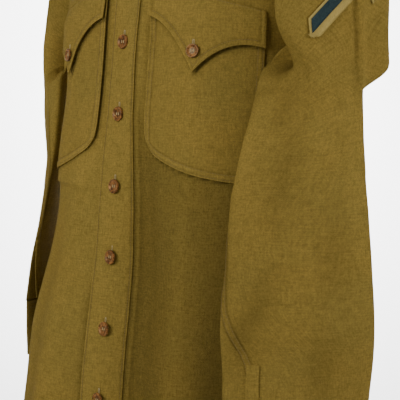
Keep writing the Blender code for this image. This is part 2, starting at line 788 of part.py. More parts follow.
def make_sleeve_strip(side_name, side, rows):
    """The narrow strip down the sleeve opening, beside the underarm seam."""
    top = STRIP_TOP[side_name] + ARMS[side_name].raise_by
    bottom = SLEEVE[-1].level + ARMS[side_name].raise_by + STRIP_END_GAP
    out = WALL + STRIP_GAP[side_name]
    grid = []
    for k in range(STRIP_ROWS + 1):
        level = blend(bottom, top, k / STRIP_ROWS)
        lean = STRIP_LEAN[side_name] * k / STRIP_ROWS
        grid.append([sleeve_place(rows, turn + lean, level, out)
                     for turn in STRIP_TURNS[side_name]])
    cloth(side_name + "_cuff_placket", sign_order(grid, -side))


def make_cuff_button(side_name, rows):
    level = sum(point.z for row in rows for point in row) / (len(rows) * len(rows[0]))
    turn = CUFF_BUTTON_TURN[side_name]
    centre = sleeve_place(rows, turn, level, BUTTON_GAP)
    inner = sleeve_place(rows, turn, level, -BUTTON_GAP)
    button(side_name + "_cuff_button", centre, (centre - inner).normalized(),
           SMALL_BUTTON_RADIUS)


def chevron_level(rows, turn, below):
    """The level of the chevron's upper edge, or of a line below it, at a turn."""
    level = CHEVRON_APEX_LEVEL - below - CHEVRON_REACH * CHEVRON_SLOPE
    for _ in range(CHEVRON_LEVEL_TRIES):
        from_fold = sleeve_place(rows, turn, level, 0.0) - sleeve_place(rows, 0.0, level, 0.0)
        reach = min(math.hypot(from_fold.x, from_fold.y), CHEVRON_REACH)
        level = CHEVRON_APEX_LEVEL - below - reach * CHEVRON_SLOPE
    return level


def make_chevron(rows):
    """The rank patch: two arms that meet on the shoulder fold, pointing up."""
    grid = []
    for below in (CHEVRON_ARM_WIDTH, 0.5 * CHEVRON_ARM_WIDTH, 0.0):
        grid.append([sleeve_place(rows, turn, chevron_level(rows, turn, below),
                                  CHEVRON_WALL + CHEVRON_GAP)
                     for turn in reversed(CHEVRON_TURNS)])
    cloth("sleeve_chevron", grid, "patch", CHEVRON_WALL)


# Collar

def neck_points():
    """The neckline from the left front's edge round the back to the right front's."""
    front = [blend(-STAND_OVERLAP, NECK_HALF, i / NECK_FRONT_STEPS)
             for i in range(NECK_FRONT_STEPS + 1)]
    points = [body_point(across, top_level(abs(across), FRONT_NECK_DEPTH)) for across in front]
    for i in range(1, NECK_BACK_STEPS):
        from_centre = NECK_HALF * (1.0 - 2.0 * i / NECK_BACK_STEPS)
        level = top_level(abs(from_centre), BACK_NECK_DEPTH)
        side = 1 if from_centre >= 0 else -1
        points.append(body_point(side * (half_girth(level, side) - abs(from_centre)), level))
    for across in reversed(front):
        points.append(body_point(-across, top_level(abs(across), FRONT_NECK_DEPTH)))
    return points


def collar_frame():
    """Neck points with the direction away from the neck's axis at each."""
    points = neck_points()
    frame = []
    for i, point in enumerate(points):
        away = Vector((point.x, point.y - NECK_CENTRE_Y, 0.0)).normalized()
        frame.append((point, away, i / (len(points) - 1)))
    return frame


def make_stand(frame):
    """The stand, whose left end laps over its right end."""
    rows = []
    for height in (0.0, 0.5, 1.0):
        row = []
        for point, away, turn in frame:
            over = 2.0 * STAND_LAP * ease(1.0 - turn / STAND_LAP_SHARE)
            under = STAND_LAP * ease((turn - 1.0) / STAND_LAP_SHARE + 1.0)
            rise = Vector((0.0, 0.0, STAND_RISE + height * STAND_HEIGHT))
            row.append(point + away * (over - under - STAND_LEAN * height) + rise)
        rows.append(row)
    cloth("collar_stand", rows)
    return rows


def make_leaf(frame, tops):
    """The leaf, which rolls over the stand's top edge and falls outside it."""
    chosen = range(LEAF_STARTS_AT, len(frame) - LEAF_STARTS_AT)
    rows = []
    for out, up in LEAF_ROLL:
        rows.append([tops[i] + frame[i][1] * out + Vector((0.0, 0.0, up)) for i in chosen])
    roll_out, roll_up = LEAF_ROLL[-1]
    for share in LEAF_FALL_SHARES:
        row = []
        for i in chosen:
            to_front = abs(frame[i][2] - 0.5) * 2.0
            grown = ease((to_front - LEAF_GROWS_FROM) / (1.0 - LEAF_GROWS_FROM))
            fall = blend(LEAF_BACK, LEAF_FRONT, grown)
            spread = blend(LEAF_SPREAD_BACK, LEAF_SPREAD_FRONT, grown)
            row.append(tops[i] + frame[i][1] * blend(roll_out, spread, share)
                       + Vector((0.0, 0.0, roll_up - fall * share)))
        rows.append(row)
    cloth("collar_leaf", [list(reversed(row)) for row in rows])


def make_collar():
    frame = collar_frame()
    stand = make_stand(frame)
    make_leaf(frame, stand[-1])
    column = COLLAR_BUTTON_COLUMN
    along = stand[1][column + 1] - stand[1][column - 1]
    upward = stand[2][column] - stand[0][column]
    normal = along.cross(upward).normalized()
    button("collar_button", stand[1][column] + normal * BUTTON_GAP, normal,
           SMALL_BUTTON_RADIUS)


# Buttons

def facing(point, normal):
    """A matrix that stands a turned piece on a point, along its normal."""
    turn = Vector((0.0, 0.0, 1.0)).rotation_difference(normal).to_matrix().to_4x4()
    return Matrix.Translation(point) @ turn


def button(name, point, normal, radius=BUTTON_RADIUS):
    profile = [(radius * r, BUTTON_THICK * h) for r, h in BUTTON_PROFILE]
    turned(name, profile, BUTTON_SIDES, facing(point, normal), "button")


def place_normal(sheet, across, level, out):
    """The direction out of a sheet at a place on the wearer's left."""
    right = sheet(across - NORMAL_STEP, level, out)
    left = sheet(across + NORMAL_STEP, level, out)
    above = sheet(across, level + NORMAL_STEP, out)
    below = sheet(across, level - NORMAL_STEP, out)
    return (left - right).cross(above - below).normalized()


def make_front_buttons(placket):
    for i, level in enumerate(BUTTON_LEVELS):
        if level > SQUARE_ROWS_TOP:
            point = body_point(0.0, level, WALL + LAY_GAP + BUTTON_GAP)
            normal = body_normal(0.0, level)
        else:
            point = placket.lay(0.0, level, BUTTON_GAP)
            normal = place_normal(placket.lay, 0.0, level, 0.0)
        button("front_button_%d" % (i + 1), point, normal)


def remove_everything():
    for thing in list(bpy.data.objects):
        bpy.data.objects.remove(thing, do_unlink=True)


def main():
    remove_everything()
    left = make_front("left_front", 1)
    right = make_front("right_front", -1)
    make_back()
    make_front_buttons(make_placket(left))
    for name, panel, side in (("left", left, 1), ("right", right, -1)):
        make_pocket(name + "_pocket", panel, side)
        make_flap(name + "_flap", panel, side)
    for name, side in (("left", 1), ("right", -1)):
        sleeve = make_sleeve(name, side)
        make_sleeve_strip(name, side, sleeve)
        make_cuff_button(name, make_cuff(name, side))
        if name == "left":
            make_chevron(sleeve)
    make_collar()


main()
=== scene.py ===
"""A worn wool military shirt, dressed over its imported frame.

Fine cloth shells with their creases, sewing, horn buttons, a rank patch and a small studio.
Metres, +Z up, the wearer faces -Y and the wearer's left is +X. A panel is drawn in cloth
coordinates: across is the distance round the body from the centre front (the wearer's left
is positive), and level is the height.
"""

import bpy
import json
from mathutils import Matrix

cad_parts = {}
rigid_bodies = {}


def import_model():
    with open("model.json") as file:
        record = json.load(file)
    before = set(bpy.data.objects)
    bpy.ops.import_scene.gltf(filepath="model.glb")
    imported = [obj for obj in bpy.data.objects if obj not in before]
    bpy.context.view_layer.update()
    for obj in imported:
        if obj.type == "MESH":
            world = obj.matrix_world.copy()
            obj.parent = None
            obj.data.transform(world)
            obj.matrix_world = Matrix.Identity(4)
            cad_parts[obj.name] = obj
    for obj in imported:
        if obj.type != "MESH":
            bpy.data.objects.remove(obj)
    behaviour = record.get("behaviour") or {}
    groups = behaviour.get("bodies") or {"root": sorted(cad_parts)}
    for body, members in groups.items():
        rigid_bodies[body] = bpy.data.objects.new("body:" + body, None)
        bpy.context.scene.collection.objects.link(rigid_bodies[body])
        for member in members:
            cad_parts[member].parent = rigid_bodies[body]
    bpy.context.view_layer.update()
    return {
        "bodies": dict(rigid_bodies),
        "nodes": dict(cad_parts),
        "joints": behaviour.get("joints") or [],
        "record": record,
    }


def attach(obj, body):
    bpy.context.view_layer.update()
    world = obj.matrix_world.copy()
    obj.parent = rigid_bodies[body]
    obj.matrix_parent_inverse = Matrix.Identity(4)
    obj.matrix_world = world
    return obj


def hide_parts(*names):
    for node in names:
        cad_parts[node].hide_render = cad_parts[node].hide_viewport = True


bl_info = {
    "name": "Wool Military Shirt",
    "version": (1, 0, 0),
    "blender": (4, 5, 0),
    "location": "3D View > Sidebar > Shirt",
    "description": "Builds the cloth, sewing, buttons and studio of a worn wool military shirt",
    "category": "Object",
}

import bisect
import json
import math
from collections import namedtuple

import bmesh
import bpy
from bpy.props import FloatProperty, FloatVectorProperty, IntProperty, PointerProperty
from mathutils import Matrix, Vector, noise

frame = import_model()

# Cloth and gaps
WALL = 0.0016
LAID_WALL = 0.0012
SEAM_GAP = 0.0004
LAY_GAP = 0.0006
# How far the outer face of a piece laid on a panel stands off it
LAID_OUT = LAID_WALL + LAY_GAP
SIDES = {"left": 1, "right": -1}
ARMHOLE_GAP = 0.0006
UNDERLAP_STEP = 0.0026
TINY = 1e-9

# Body of the shirt
HEM_LEVEL = -0.790
SQUARE_ROWS_TOP = -0.190
SHOULDER_DROP = 0.050
SHOULDER_X = 0.200
DROP_STARTS_AT = 0.050
DROP_MOST = 1.2
NECK_HALF = 0.068
FRONT_NECK_DEPTH = 0.080
BACK_NECK_DEPTH = 0.020
FRONT_EDGE = 0.021
UNDERLAP_FROM = -0.060
UNDERLAP_OVER = 0.030
SECTION_SAMPLES = 96
RIGHT_FRONT_EDGE = 0.018

# The panels' grids: columns up to the neck point and beyond it, rows below the neck and
# beside it
FRONT_NECK_COLUMNS = 36
FRONT_OUTER_COLUMNS = 56
BACK_COLUMNS_A_SIDE = 66
SQUARE_ROWS = 186
TOP_ROWS = 58
# Beyond this distance round the body, folds of the other half of the back reach over
BACK_MEETS_FROM = 0.380
NORMAL_STEP = 0.006
# The waviness of the cloth: how often it varies across and down a metre, and its height
WAVES = ((16.0, 9.0, 0.0011), (46.0, 30.0, 0.0004))

# Sections of the body, top to bottom. right and left are half widths, front and back are
# depths, square is the roundness of each side (2 is an ellipse), and arm_front and
# arm_back say how far from the side line the armhole has cut the panels away.
Section = namedtuple("Section", "level right left front back square arm_front arm_back")
BODY = (
    Section(0.000, 0.203, 0.203, 0.0011, 0.0011, 8.0, 0.0009, 0.0009),
    Section(-0.020, 0.200, 0.200, 0.040, 0.046, 3.4, 0.022, 0.024),
    Section(-0.050, 0.195, 0.195, 0.064, 0.070, 2.8, 0.036, 0.042),
    Section(-0.090, 0.190, 0.190, 0.085, 0.088, 2.6, 0.046, 0.054),
    Section(-0.140, 0.186, 0.182, 0.102, 0.100, 2.5, 0.052, 0.062),
    Section(-0.200, 0.184, 0.174, 0.112, 0.106, 2.5, 0.052, 0.062),
    Section(-0.250, 0.181, 0.168, 0.118, 0.108, 2.5, 0.038, 0.044),
    Section(-0.285, 0.178, 0.165, 0.122, 0.108, 2.4, 0.000, 0.000),
    Section(-0.340, 0.174, 0.163, 0.128, 0.106, 2.4, 0.000, 0.000),
    Section(-0.430, 0.172, 0.166, 0.134, 0.104, 2.3, 0.000, 0.000),
    Section(-0.520, 0.178, 0.170, 0.144, 0.104, 2.2, 0.000, 0.000),
    Section(-0.620, 0.190, 0.176, 0.157, 0.106, 2.2, 0.000, 0.000),
    Section(-0.800, 0.208, 0.192, 0.174, 0.114, 2.2, 0.000, 0.000),
)


# Folds of the body. Each runs down through places in cloth coordinates, given by across,
# level, height (ridges positive, valleys negative) and half width.
Fold = namedtuple("Fold", "top_across top_level top_height top_width "
                          "end_across end_level end_height end_width")


def runs(folds):
    """Each stretch between two neighbouring places of each fold."""
    return tuple(Fold(*top, *end) for places in folds for top, end in zip(places, places[1:]))


FOLDS = runs((
    # The big ridge of the right front, from the placket out to the side
    ((-0.036, -0.320, 0.000, 0.024), (-0.056, -0.470, 0.014, 0.030),
     (-0.066, -0.800, 0.032, 0.034)),
    ((-0.120, -0.300, 0.000, 0.040), (-0.130, -0.430, 0.012, 0.046),
     (-0.135, -0.600, 0.031, 0.046), (-0.140, -0.800, 0.035, 0.048)),
    # The narrow trough between that ridge and the placket's free edge
    ((-0.030, -0.540, 0.000, 0.008), (-0.030, -0.800, -0.006, 0.009)),
    # The chest at the placket leans to the wearer's right
    ((0.026, -0.150, 0.000, 0.014), (0.022, -0.270, 0.005, 0.014), (0.020, -0.400, 0.000, 0.014)),
    # The valley between the placket's strip and the left pocket, down to the hem
    ((0.036, -0.150, -0.002, 0.010), (0.035, -0.340, -0.006, 0.010),
     (0.038, -0.520, -0.020, 0.018), (0.038, -0.800, -0.024, 0.020)),
    # The fullness of the left pocket and the panel below it
    ((0.098, -0.190, 0.004, 0.022), (0.098, -0.420, 0.005, 0.022), (0.102, -0.800, 0.008, 0.030)),
    ((0.165, -0.420, 0.000, 0.022), (0.170, -0.800, -0.010, 0.026)),
    # The right pocket's fullness, and the hollow at the wearer's right side
    ((-0.098, -0.190, 0.006, 0.030), (-0.105, -0.420, 0.004, 0.030)),
    ((-0.190, -0.350, 0.000, 0.024), (-0.200, -0.800, -0.010, 0.028)),
    # Loose folds down the back
    ((0.400, -0.250, 0.000, 0.030), (0.385, -0.800, 0.016, 0.032)),
    ((-0.400, -0.250, 0.000, 0.030), (-0.385, -0.800, 0.014, 0.034)),
    ((0.465, -0.300, 0.000, 0.024), (0.455, -0.800, -0.010, 0.028)),
))

# Finer creases of the body, in the same columns: soft troughs and ridges, uneven in
# length, depth and spacing
CREASES = runs((
    # The strip beside the placket ends in a soft roll and a forked fold
    ((0.0305, -0.085, 0.0005, 0.005), (0.0300, -0.800, 0.0009, 0.005)),
    ((0.0330, -0.215, 0.0000, 0.006), (0.0385, -0.262, -0.0022, 0.004),
     (0.0370, -0.330, -0.0006, 0.005)),
    ((0.0440, -0.225, 0.0000, 0.005), (0.0385, -0.262, -0.0014, 0.004)),
    # The crease pressed down through the left pocket and the panel below it
    ((0.0985, -0.235, 0.0000, 0.003), (0.0965, -0.330, 0.0012, 0.003),
     (0.0950, -0.520, 0.0008, 0.005), (0.1000, -0.700, 0.0000, 0.009)),
    # Soft troughs down the left front
    ((0.0700, -0.395, 0.0000, 0.009), (0.0730, -0.560, -0.0020, 0.011),
     (0.0700, -0.790, -0.0034, 0.014)),
    ((0.1310, -0.420, 0.0000, 0.012), (0.1380, -0.640, -0.0024, 0.014),
     (0.1350, -0.790, -0.0010, 0.016)),
    # Ridges and troughs down the right front
    ((-0.0420, -0.260, 0.0000, 0.010), (-0.0520, -0.420, 0.0022, 0.011)),
    ((-0.0800, -0.400, 0.0000, 0.010), (-0.0950, -0.560, -0.0032, 0.012),
     (-0.1000, -0.790, -0.0050, 0.015)),
    ((-0.1620, -0.360, 0.0000, 0.012), (-0.1700, -0.600, -0.0036, 0.014),
     (-0.1720, -0.790, -0.0020, 0.016)),
    ((-0.0985, -0.240, 0.0000, 0.003), (-0.0975, -0.340, 0.0010, 0.003)),
    # Drag lines from the armholes
    ((0.1480, -0.120, 0.0000, 0.007), (0.1300, -0.205, 0.0024, 0.009)),
    ((-0.1500, -0.110, 0.0000, 0.007), (-0.1320, -0.200, 0.0028, 0.009)),
    ((0.3300, -0.170, 0.0000, 0.008), (0.3550, -0.270, 0.0026, 0.011)),
    ((-0.3300, -0.160, 0.0000, 0.008), (-0.3520, -0.290, 0.0024, 0.011)),
    # Loose folds down the back, uneven in length and depth
    ((0.3650, -0.330, 0.0000, 0.012), (0.3500, -0.560, -0.0046, 0.014),
     (0.3480, -0.790, -0.0058, 0.016)),
    ((0.4360, -0.280, 0.0000, 0.010), (0.4280, -0.470, -0.0026, 0.012),
     (0.4200, -0.790, -0.0046, 0.016)),
    ((-0.3600, -0.300, 0.0000, 0.010), (-0.3480, -0.520, -0.0040, 0.012),
     (-0.3400, -0.790, -0.0062, 0.016)),
    ((-0.4320, -0.360, 0.0000, 0.011), (-0.4250, -0.600, -0.0030, 0.013),
     (-0.4260, -0.790, -0.0040, 0.014)),
))


# Sleeve sections, top to bottom, for the wearer's left. The long side lies along axis
# degrees in plan, seam_turn says how far the underarm seam has turned from the front
# edge towards the outer face, and tilt is how much lower the underarm side is.
Ring = namedtuple("Ring", "level x y half_long half_thick axis seam_turn tilt")
SLEEVE = (
    Ring(-0.262, 0.1985, -0.052, 0.0510, 0.0240, 34.0, -52.0, 0.045),
    Ring(-0.310, 0.1985, -0.056, 0.0545, 0.0210, 33.0, -46.0, 0.030),
    Ring(-0.360, 0.1985, -0.061, 0.0595, 0.0200, 33.0, -36.0, 0.012),
    Ring(-0.430, 0.2000, -0.067, 0.0675, 0.0200, 35.0, -24.0, 0.000),
    Ring(-0.520, 0.2060, -0.0745, 0.0745, 0.0200, 42.0, -4.0, 0.000),
    Ring(-0.570, 0.2080, -0.0765, 0.0765, 0.0200, 48.0, 28.0, 0.000),
    Ring(-0.636, 0.2070, -0.0775, 0.0755, 0.0205, 55.0, 50.0, 0.000),
)
CUFF = (
    Ring(-0.637, 0.2070, -0.0775, 0.0735, 0.0215, 55.0, 50.0, 0.000),
    Ring(-0.670, 0.2060, -0.0780, 0.0700, 0.0225, 57.0, 54.0, 0.000),
    Ring(-0.705, 0.2050, -0.0785, 0.0670, 0.0235, 58.0, 56.0, 0.000),
)
SLEEVE_EDGE_SHARPNESS = 1.25
ARMHOLE_BOTTOM = -0.285

# How strongly the cloth leaves the armhole (outwards, more at the shoulder fold and at
# the underarm, and forwards) and comes down into the tube
HEAD_LEAVES_OUT = 0.050
HEAD_LEAVES_OUT_AT_FOLD = 0.070
HEAD_LEAVES_OUT_UNDER = 0.060
HEAD_LEAVES_FORWARD = 0.090
HEAD_ARRIVES_DOWN = 0.060
HEAD_ARRIVES_DOWN_AT_FOLD = 0.140

# How each arm is held: its cuff raised, its tube moved out (above and below) and back,
# turned, pressed flat, and its share of loose cloth
Arm = namedtuple("Arm", "raise_by out_above out_below move_back turn thickness fullness")
ARMS = {
    "left": Arm(0.0, 0.0, 0.0, 0.0, 0.0, 1.0, 1.0),
    "right": Arm(0.068, 0.017, 0.001, 0.008, 6.0, 0.52, 0.20),
}
ARM_BENDS_FROM = -0.300
ARM_BENDS_OVER = 0.250

# The sleeve's loose cloth: how far it hangs out at most, at what turn and level, how
# far it spreads round, above and below, and its direction
Fullness = namedtuple("Fullness", "size turn spread level above below x y")
SLEEVE_FULLNESS = (
    Fullness(0.068, -68.0, 23.0, -0.286, 0.120, 0.022, 0.66, 0.75),
    Fullness(0.038, 116.0, 32.0, -0.245, 0.070, 0.034, 0.04, -0.99),
)
HEAD_SEAM_SPAN = 0.050

# Finer creases of the sleeves. Each runs from one turn and level to another, with its
# height and its half width at the end of the run
Crease = namedtuple("Crease", "top_turn top_level end_turn end_level height width")
SLEEVE_CREASES = {
    "left": (
        Crease(33, -0.150, 16, -0.345, -0.0042, 0.0032),
        Crease(128, -0.330, 122, -0.470, -0.0030, 0.010),
        Crease(122, -0.470, 126, -0.610, -0.0040, 0.011),
        Crease(62, -0.420, 66, -0.540, -0.0026, 0.012),
        Crease(66, -0.540, 62, -0.640, -0.0036, 0.012),
        Crease(92, -0.240, 88, -0.420, 0.0018, 0.013),
        Crease(30, -0.300, 34, -0.500, 0.0014, 0.010),
        Crease(150, -0.300, 158, -0.360, -0.0024, 0.007),
        Crease(168, -0.500, 150, -0.600, 0.0024, 0.008),
        Crease(215, -0.300, 228, -0.480, 0.0030, 0.012),
        Crease(250, -0.360, 245, -0.600, -0.0036, 0.013),
        Crease(300, -0.340, 306, -0.560, 0.0026, 0.012),
    ),
    "right": (
        Crease(125, -0.190, 138, -0.430, 0.0090, 0.026),
        Crease(60, -0.280, 66, -0.450, -0.0020, 0.010),
        Crease(110, -0.320, 104, -0.560, 0.0018, 0.011),
        Crease(140, -0.260, 150, -0.420, -0.0022, 0.010),
        Crease(230, -0.300, 238, -0.520, 0.0020, 0.011),
        Crease(285, -0.260, 280, -0.480, -0.0024, 0.012),
    ),
}
SLEEVE_COLUMNS = 120
SEAM_CLOSENESS = 36.0
HEAD_ROWS = 26
TUBE_ROWS = 106
CUFF_ROWS = 24
# How far the underarm seam has turned round a sleeve by each level
SEAM_SLIDES = {
    "left": ((-0.264, 0.0), (-0.280, 26.0), (-0.310, 50.0), (-0.350, 54.0), (-0.400, 42.0),
             (-0.450, 30.0), (-0.480, 20.0), (-0.500, 10.0), (-0.515, -2.0),
             (-0.530, -15.0), (-0.540, -28.0), (-0.550, -40.0), (-0.560, -52.0),
             (-0.570, -63.0), (-0.580, -69.0), (-0.600, -76.0), (-0.640, -80.0)),
    "right": ((0.0, 0.0), (-0.640, 0.0)),
}
SLIDE_TRIES = 12
SEAM_RISES_FROM = -0.325
# The cuff's buttoned end: where the step starts and ends, each with its run
CUFF_LAP_TURNS = (174.0, 1.5, 214.0, 14.0)
CUFF_LAP_RISE = 0.0011

# Pockets, in cloth coordinates on the wearer's left front. A pocket hangs lower at its
# outer side by POCKET_DROOP.
POCKET_INNER = 0.035
POCKET_OUTER = 0.167
POCKET_TOP = -0.212
POCKET_BOTTOM = -0.372
POCKET_DROOP = 0.036
POCKET_CORNER = 0.016
FLAP_TOP = -0.197
FLAP_SIDE = 0.037
FLAP_POINT_DROP = 0.044
FLAP_POINT_SHARE = 0.47
FLAP_ARC_POWER = 2.4
FLAP_LIFT = 0.0022
FLAP_BUTTON_UP = 0.022
FLAP_RISE_SHARE = 0.28
POCKET_BAND = 0.0075
POCKET_BAND_RISE = 0.0007
FLAP_STITCH_IN = 0.0055

# Buttons
BUTTON_LEVELS = (-0.107, -0.184, -0.261, -0.338, -0.416, -0.493, -0.571, -0.648)
BUTTON_RADIUS = 0.0080
BUTTON_THICK = 0.0030
SMALL_BUTTON_RADIUS = 0.0072
BUTTON_GAP = 0.0004
BUTTON_STEPS = 40
BUTTON_SHARP_FROM = math.radians(38.0)
# A button's profile, as shares of its radius and its thickness, and its four holes
HORN_PROFILE = ((0.0, 0.0), (0.78, 0.0), (0.93, 0.14), (1.0, 0.42), (0.985, 0.74),
                (0.93, 0.95), (0.86, 1.0), (0.78, 0.96), (0.70, 0.80), (0.62, 0.66),
                (0.45, 0.60), (0.0, 0.58))
HOLE_OUT = 0.26
HOLE_RADIUS = 0.115
THREAD_RADIUS = 0.00028
THREAD_HEIGHT = 0.62
# The threads between two holes lie side by side, this many radii apart
THREAD_SPACING = 1.3
THREAD_ENDS = 0.0003
BUTTONHOLE_WIDE = 0.0014
BUTTONHOLE_THREAD = 0.00026
BUTTONHOLE_MORE = 0.002
BUTTONHOLE_STITCHES = 30
BUTTONHOLE_END_STITCHES = 7
THREADS_AT_ONCE = 40
HOLE_SHIFT = 0.0026

# Collar
STAND_HEIGHT = 0.030
STAND_LEAN = 0.006
STAND_OVERLAP = 0.013
STAND_RISE = 0.0022
STAND_LAP = 0.0016
STAND_LAP_SHARE = 0.25
NECK_FRONT_STEPS = 24
NECK_BACK_STEPS = 36
LEAF_STARTS_AT = 6
STAND_ROWS = 12
# The cloth between two columns of the collar, and the leaf's stitches from its edge
COLLAR_CELL = 0.005
LEAF_STITCH_IN = 0.006
LEAF_ROWS = 44
COLLAR_BUTTON_COLUMN = 3
LEAF_FALL_SHARES = (0.3, 0.6, 1.0)
NECK_CENTRE_Y = -0.012
LEAF_ROLL = ((0.000, 0.0006), (0.001, 0.0050), (0.005, 0.0076), (0.009, 0.0040))
LEAF_BACK = 0.029
LEAF_FRONT = 0.058
LEAF_SPREAD_BACK = 0.018
LEAF_SPREAD_FRONT = 0.030
LEAF_GROWS_FROM = 0.45

# Strips at the sleeve openings, and the cuff buttons
STRIP_TOP = {"left": -0.580, "right": -0.560}
STRIP_END_GAP = 0.001
STRIP_TURNS = {"left": (96.5, 101.0, 105.5), "right": (168.0, 180.0, 186.0)}
STRIP_LEAN = {"left": 6.0, "right": 0.0}
CUFF_BUTTON_TURN = {"left": 118.0, "right": 198.0}
STRIP_WIDE = 0.012

# Chevron patch on the left sleeve
CHEVRON_APEX_LEVEL = -0.183
CHEVRON_SLOPE = 0.92
CHEVRON_ARM_WIDTH = 0.028
CHEVRON_REACH = 0.068
CHEVRON_WALL = 0.0012
CHEVRON_TURNS = (-54.0, -36.0, -18.0, 0.0, 18.0, 36.0, 54.0, 72.0, 90.0)
CHEVRON_LEVEL_TRIES = 5
CHEVRON_FROM = -30.0
CHEVRON_CUT_TURN = 7.0
CHEVRON_COLUMNS = 72
CHEVRON_ROWS = 14
STRIPE_ROWS = 8
STRIPE_FROM = 0.0030
STRIPE_TO = 0.0168
STRIPE_WALL = 0.0008
STRIPE_END = 2.5

# Sewing
SEAM_BAND = 0.0075
SEAM_BAND_RISE = 0.0007
HEM_DEEP = 0.012
# How strongly painted shade darkens the hollows and painted highlight lightens the ridges
# of folds, creases and the sleeves' creases
FOLD_PAINTED_SHADING = 9.0
CREASE_PAINTED_SHADING = 70.0
SLEEVE_PAINTED_SHADING = 85.0
# Painted shade over the lower left front beyond the placket's strip, and the distance from the
# centre front of the painted shadow line in the valley beside that strip
LEFT_SHADE = 0.42
VALLEY_ACROSS = 0.0275
# Below this level the painted shadow beside the placket's free edge on the right front widens
PLACKET_LIFTS_FROM = -0.500
EDGE_STITCH = 0.0020
# The groove that a line of stitches pulls into a laid piece
STITCH_DENT = 0.0003
STITCH_DENT_WIDE = 0.0009
PUCKER_SCALE = 110.0
# Cells beside a stitched edge, as distances from it
EDGE_CELLS = (0.0, 0.0007, 0.0015, 0.0023, 0.0032, 0.0042, 0.0055, 0.0070, 0.0082, 0.0095)
# Rows of a pocket and of a flap, as shares of the fall from their free edge upwards
POCKET_FALL = 0.16
POCKET_ROWS = 52
POCKET_ROW_SHARES = tuple([distance / POCKET_FALL for distance in EDGE_CELLS]
                          + [row / POCKET_ROWS for row in range(4, POCKET_ROWS + 1)])
FLAP_ROW_SHARES = tuple(1.0 - share for share in (
    0.0, 0.015, 0.035, 0.06, 0.085, 0.11, 0.14, 0.17, 0.21, 0.26, 0.32, 0.39, 0.46, 0.54,
    0.62, 0.70, 0.78, 0.86, 0.93, 1.0))

# How finely the warp and the weft vary, across and along the yarns, per metre
YARN_SCALE = (640.0, 90.0)
# Noise that varies the wool, from single flecks and fibres to worn stretches
FLECKS = {"Scale": 520.0, "Detail": 3.0, "Roughness": 0.8}
MOTTLE = {"Scale": 95.0, "Detail": 4.0, "Roughness": 0.6}
WEAR = {"Scale": 13.0, "Detail": 3.0, "Roughness": 0.5}
YARN = {"Scale": 1.0, "Detail": 2.0, "Roughness": 0.6}
FIBRES = {"Scale": 1500.0, "Detail": 3.0, "Roughness": 0.75}
# Noise of the horn, the thread and the studio's paper
STREAKS = {"Scale": 160.0, "Detail": 4.0, "Roughness": 0.6, "Distortion": 1.8}
SCRATCHES = {"Scale": 900.0, "Detail": 2.0}
SPUN = {"Scale": 1800.0, "Detail": 2.0}
PAPER_GRAIN = {"Scale": 40.0, "Detail": 2.0}
# How much the twill and the mottle add to the height of the wool's fibres
TWILL_HEIGHT = 0.35
MOTTLE_HEIGHT = 1.3
# How far the attribute of painted shade and highlight can darken and lighten the cloth
PAINTED_LIGHT_RANGE = (0.35, 1.65)

# The picture: the photo is 400 pixels square, seen from the wearer's front left
PHOTO_PIXELS = 400
PHOTO_FOCAL_PIXELS = 1005.0
PHOTO_CENTRE_DROP_PIXELS = 112.0
CAMERA_AZIMUTH = 45.0
EYE_LEVEL = -0.310
EYE_SHIFT = -0.005
SENSOR = 36.0
STAGE_HALF = 15.0
STAGE_BACK = 6.0
STAGE_CURVE = 2.25
STAGE_HIGH = 8.0
STAGE_CURVE_STEPS = 16
WASH_SPREAD = math.radians(80.0)

# The studio's lights, by their turn from the camera's side, their height above the eye,
# their distance and size. Those of the backdrop aim at it, and the others at the shirt.
Lamp = namedtuple("Lamp", "name turn height distance size on_backdrop")
LAMPS = (
    Lamp("key", -42.0, 0.45, 1.7, 0.7, False),
    Lamp("fill", 66.0, 0.20, 1.8, 0.8, False),
    Lamp("top", 0.0, 1.70, 1.0, 1.2, False),
    Lamp("wash_left", 235.0, 2.2, 2.9, 1.2, True),
    Lamp("wash_right", 125.0, 2.2, 2.9, 1.2, True),
)


# Small helpers


def clamp(value, low=0.0, high=1.0):
    return max(low, min(high, value))


def ease(value):
    value = clamp(value)
    return value * value * (3.0 - 2.0 * value)


def blend(a, b, t):
    return a + (b - a) * t


def curve(start, leaves, end, arrives, t):
    """A smooth way from start to end, with the slope or direction that it has at each."""
    return (start * (2 * t**3 - 3 * t**2 + 1) + leaves * (t**3 - 2 * t**2 + t)
            + end * (3 * t**2 - 2 * t**3) + arrives * (t**3 - t**2))


def table_row(table, level):
    """The table's columns at a level, joined smoothly from row to row."""
    levels = [row.level for row in table]
    if level >= levels[0]:
        return table[0]
    if level <= levels[-1]:
        return table[-1]
    index = next(i for i in range(len(table) - 1) if levels[i + 1] <= level)
    before = table[max(index - 1, 0)]
    first, second = table[index], table[index + 1]
    after = table[min(index + 2, len(table) - 1)]
    span = second.level - first.level
    t = (level - first.level) / span
    columns = []
    for a, p, q, b in zip(before, first, second, after):
        slope_p = (q - a) / (second.level - before.level) * span
        slope_q = (b - p) / (after.level - first.level) * span
        columns.append(curve(p, slope_p, q, slope_q, t))
    return type(first)(*columns)


# The body's surface

quarter_cache = {}


def shoulder_drop(level, x):
    """How far a row sinks towards the shoulder point."""
    start = SQUARE_ROWS_TOP
    share = ease((level - start) / -start)
    run = (abs(x) - DROP_STARTS_AT) / (SHOULDER_X - DROP_STARTS_AT)
    return SHOULDER_DROP * share * clamp(run, 0.0, DROP_MOST)


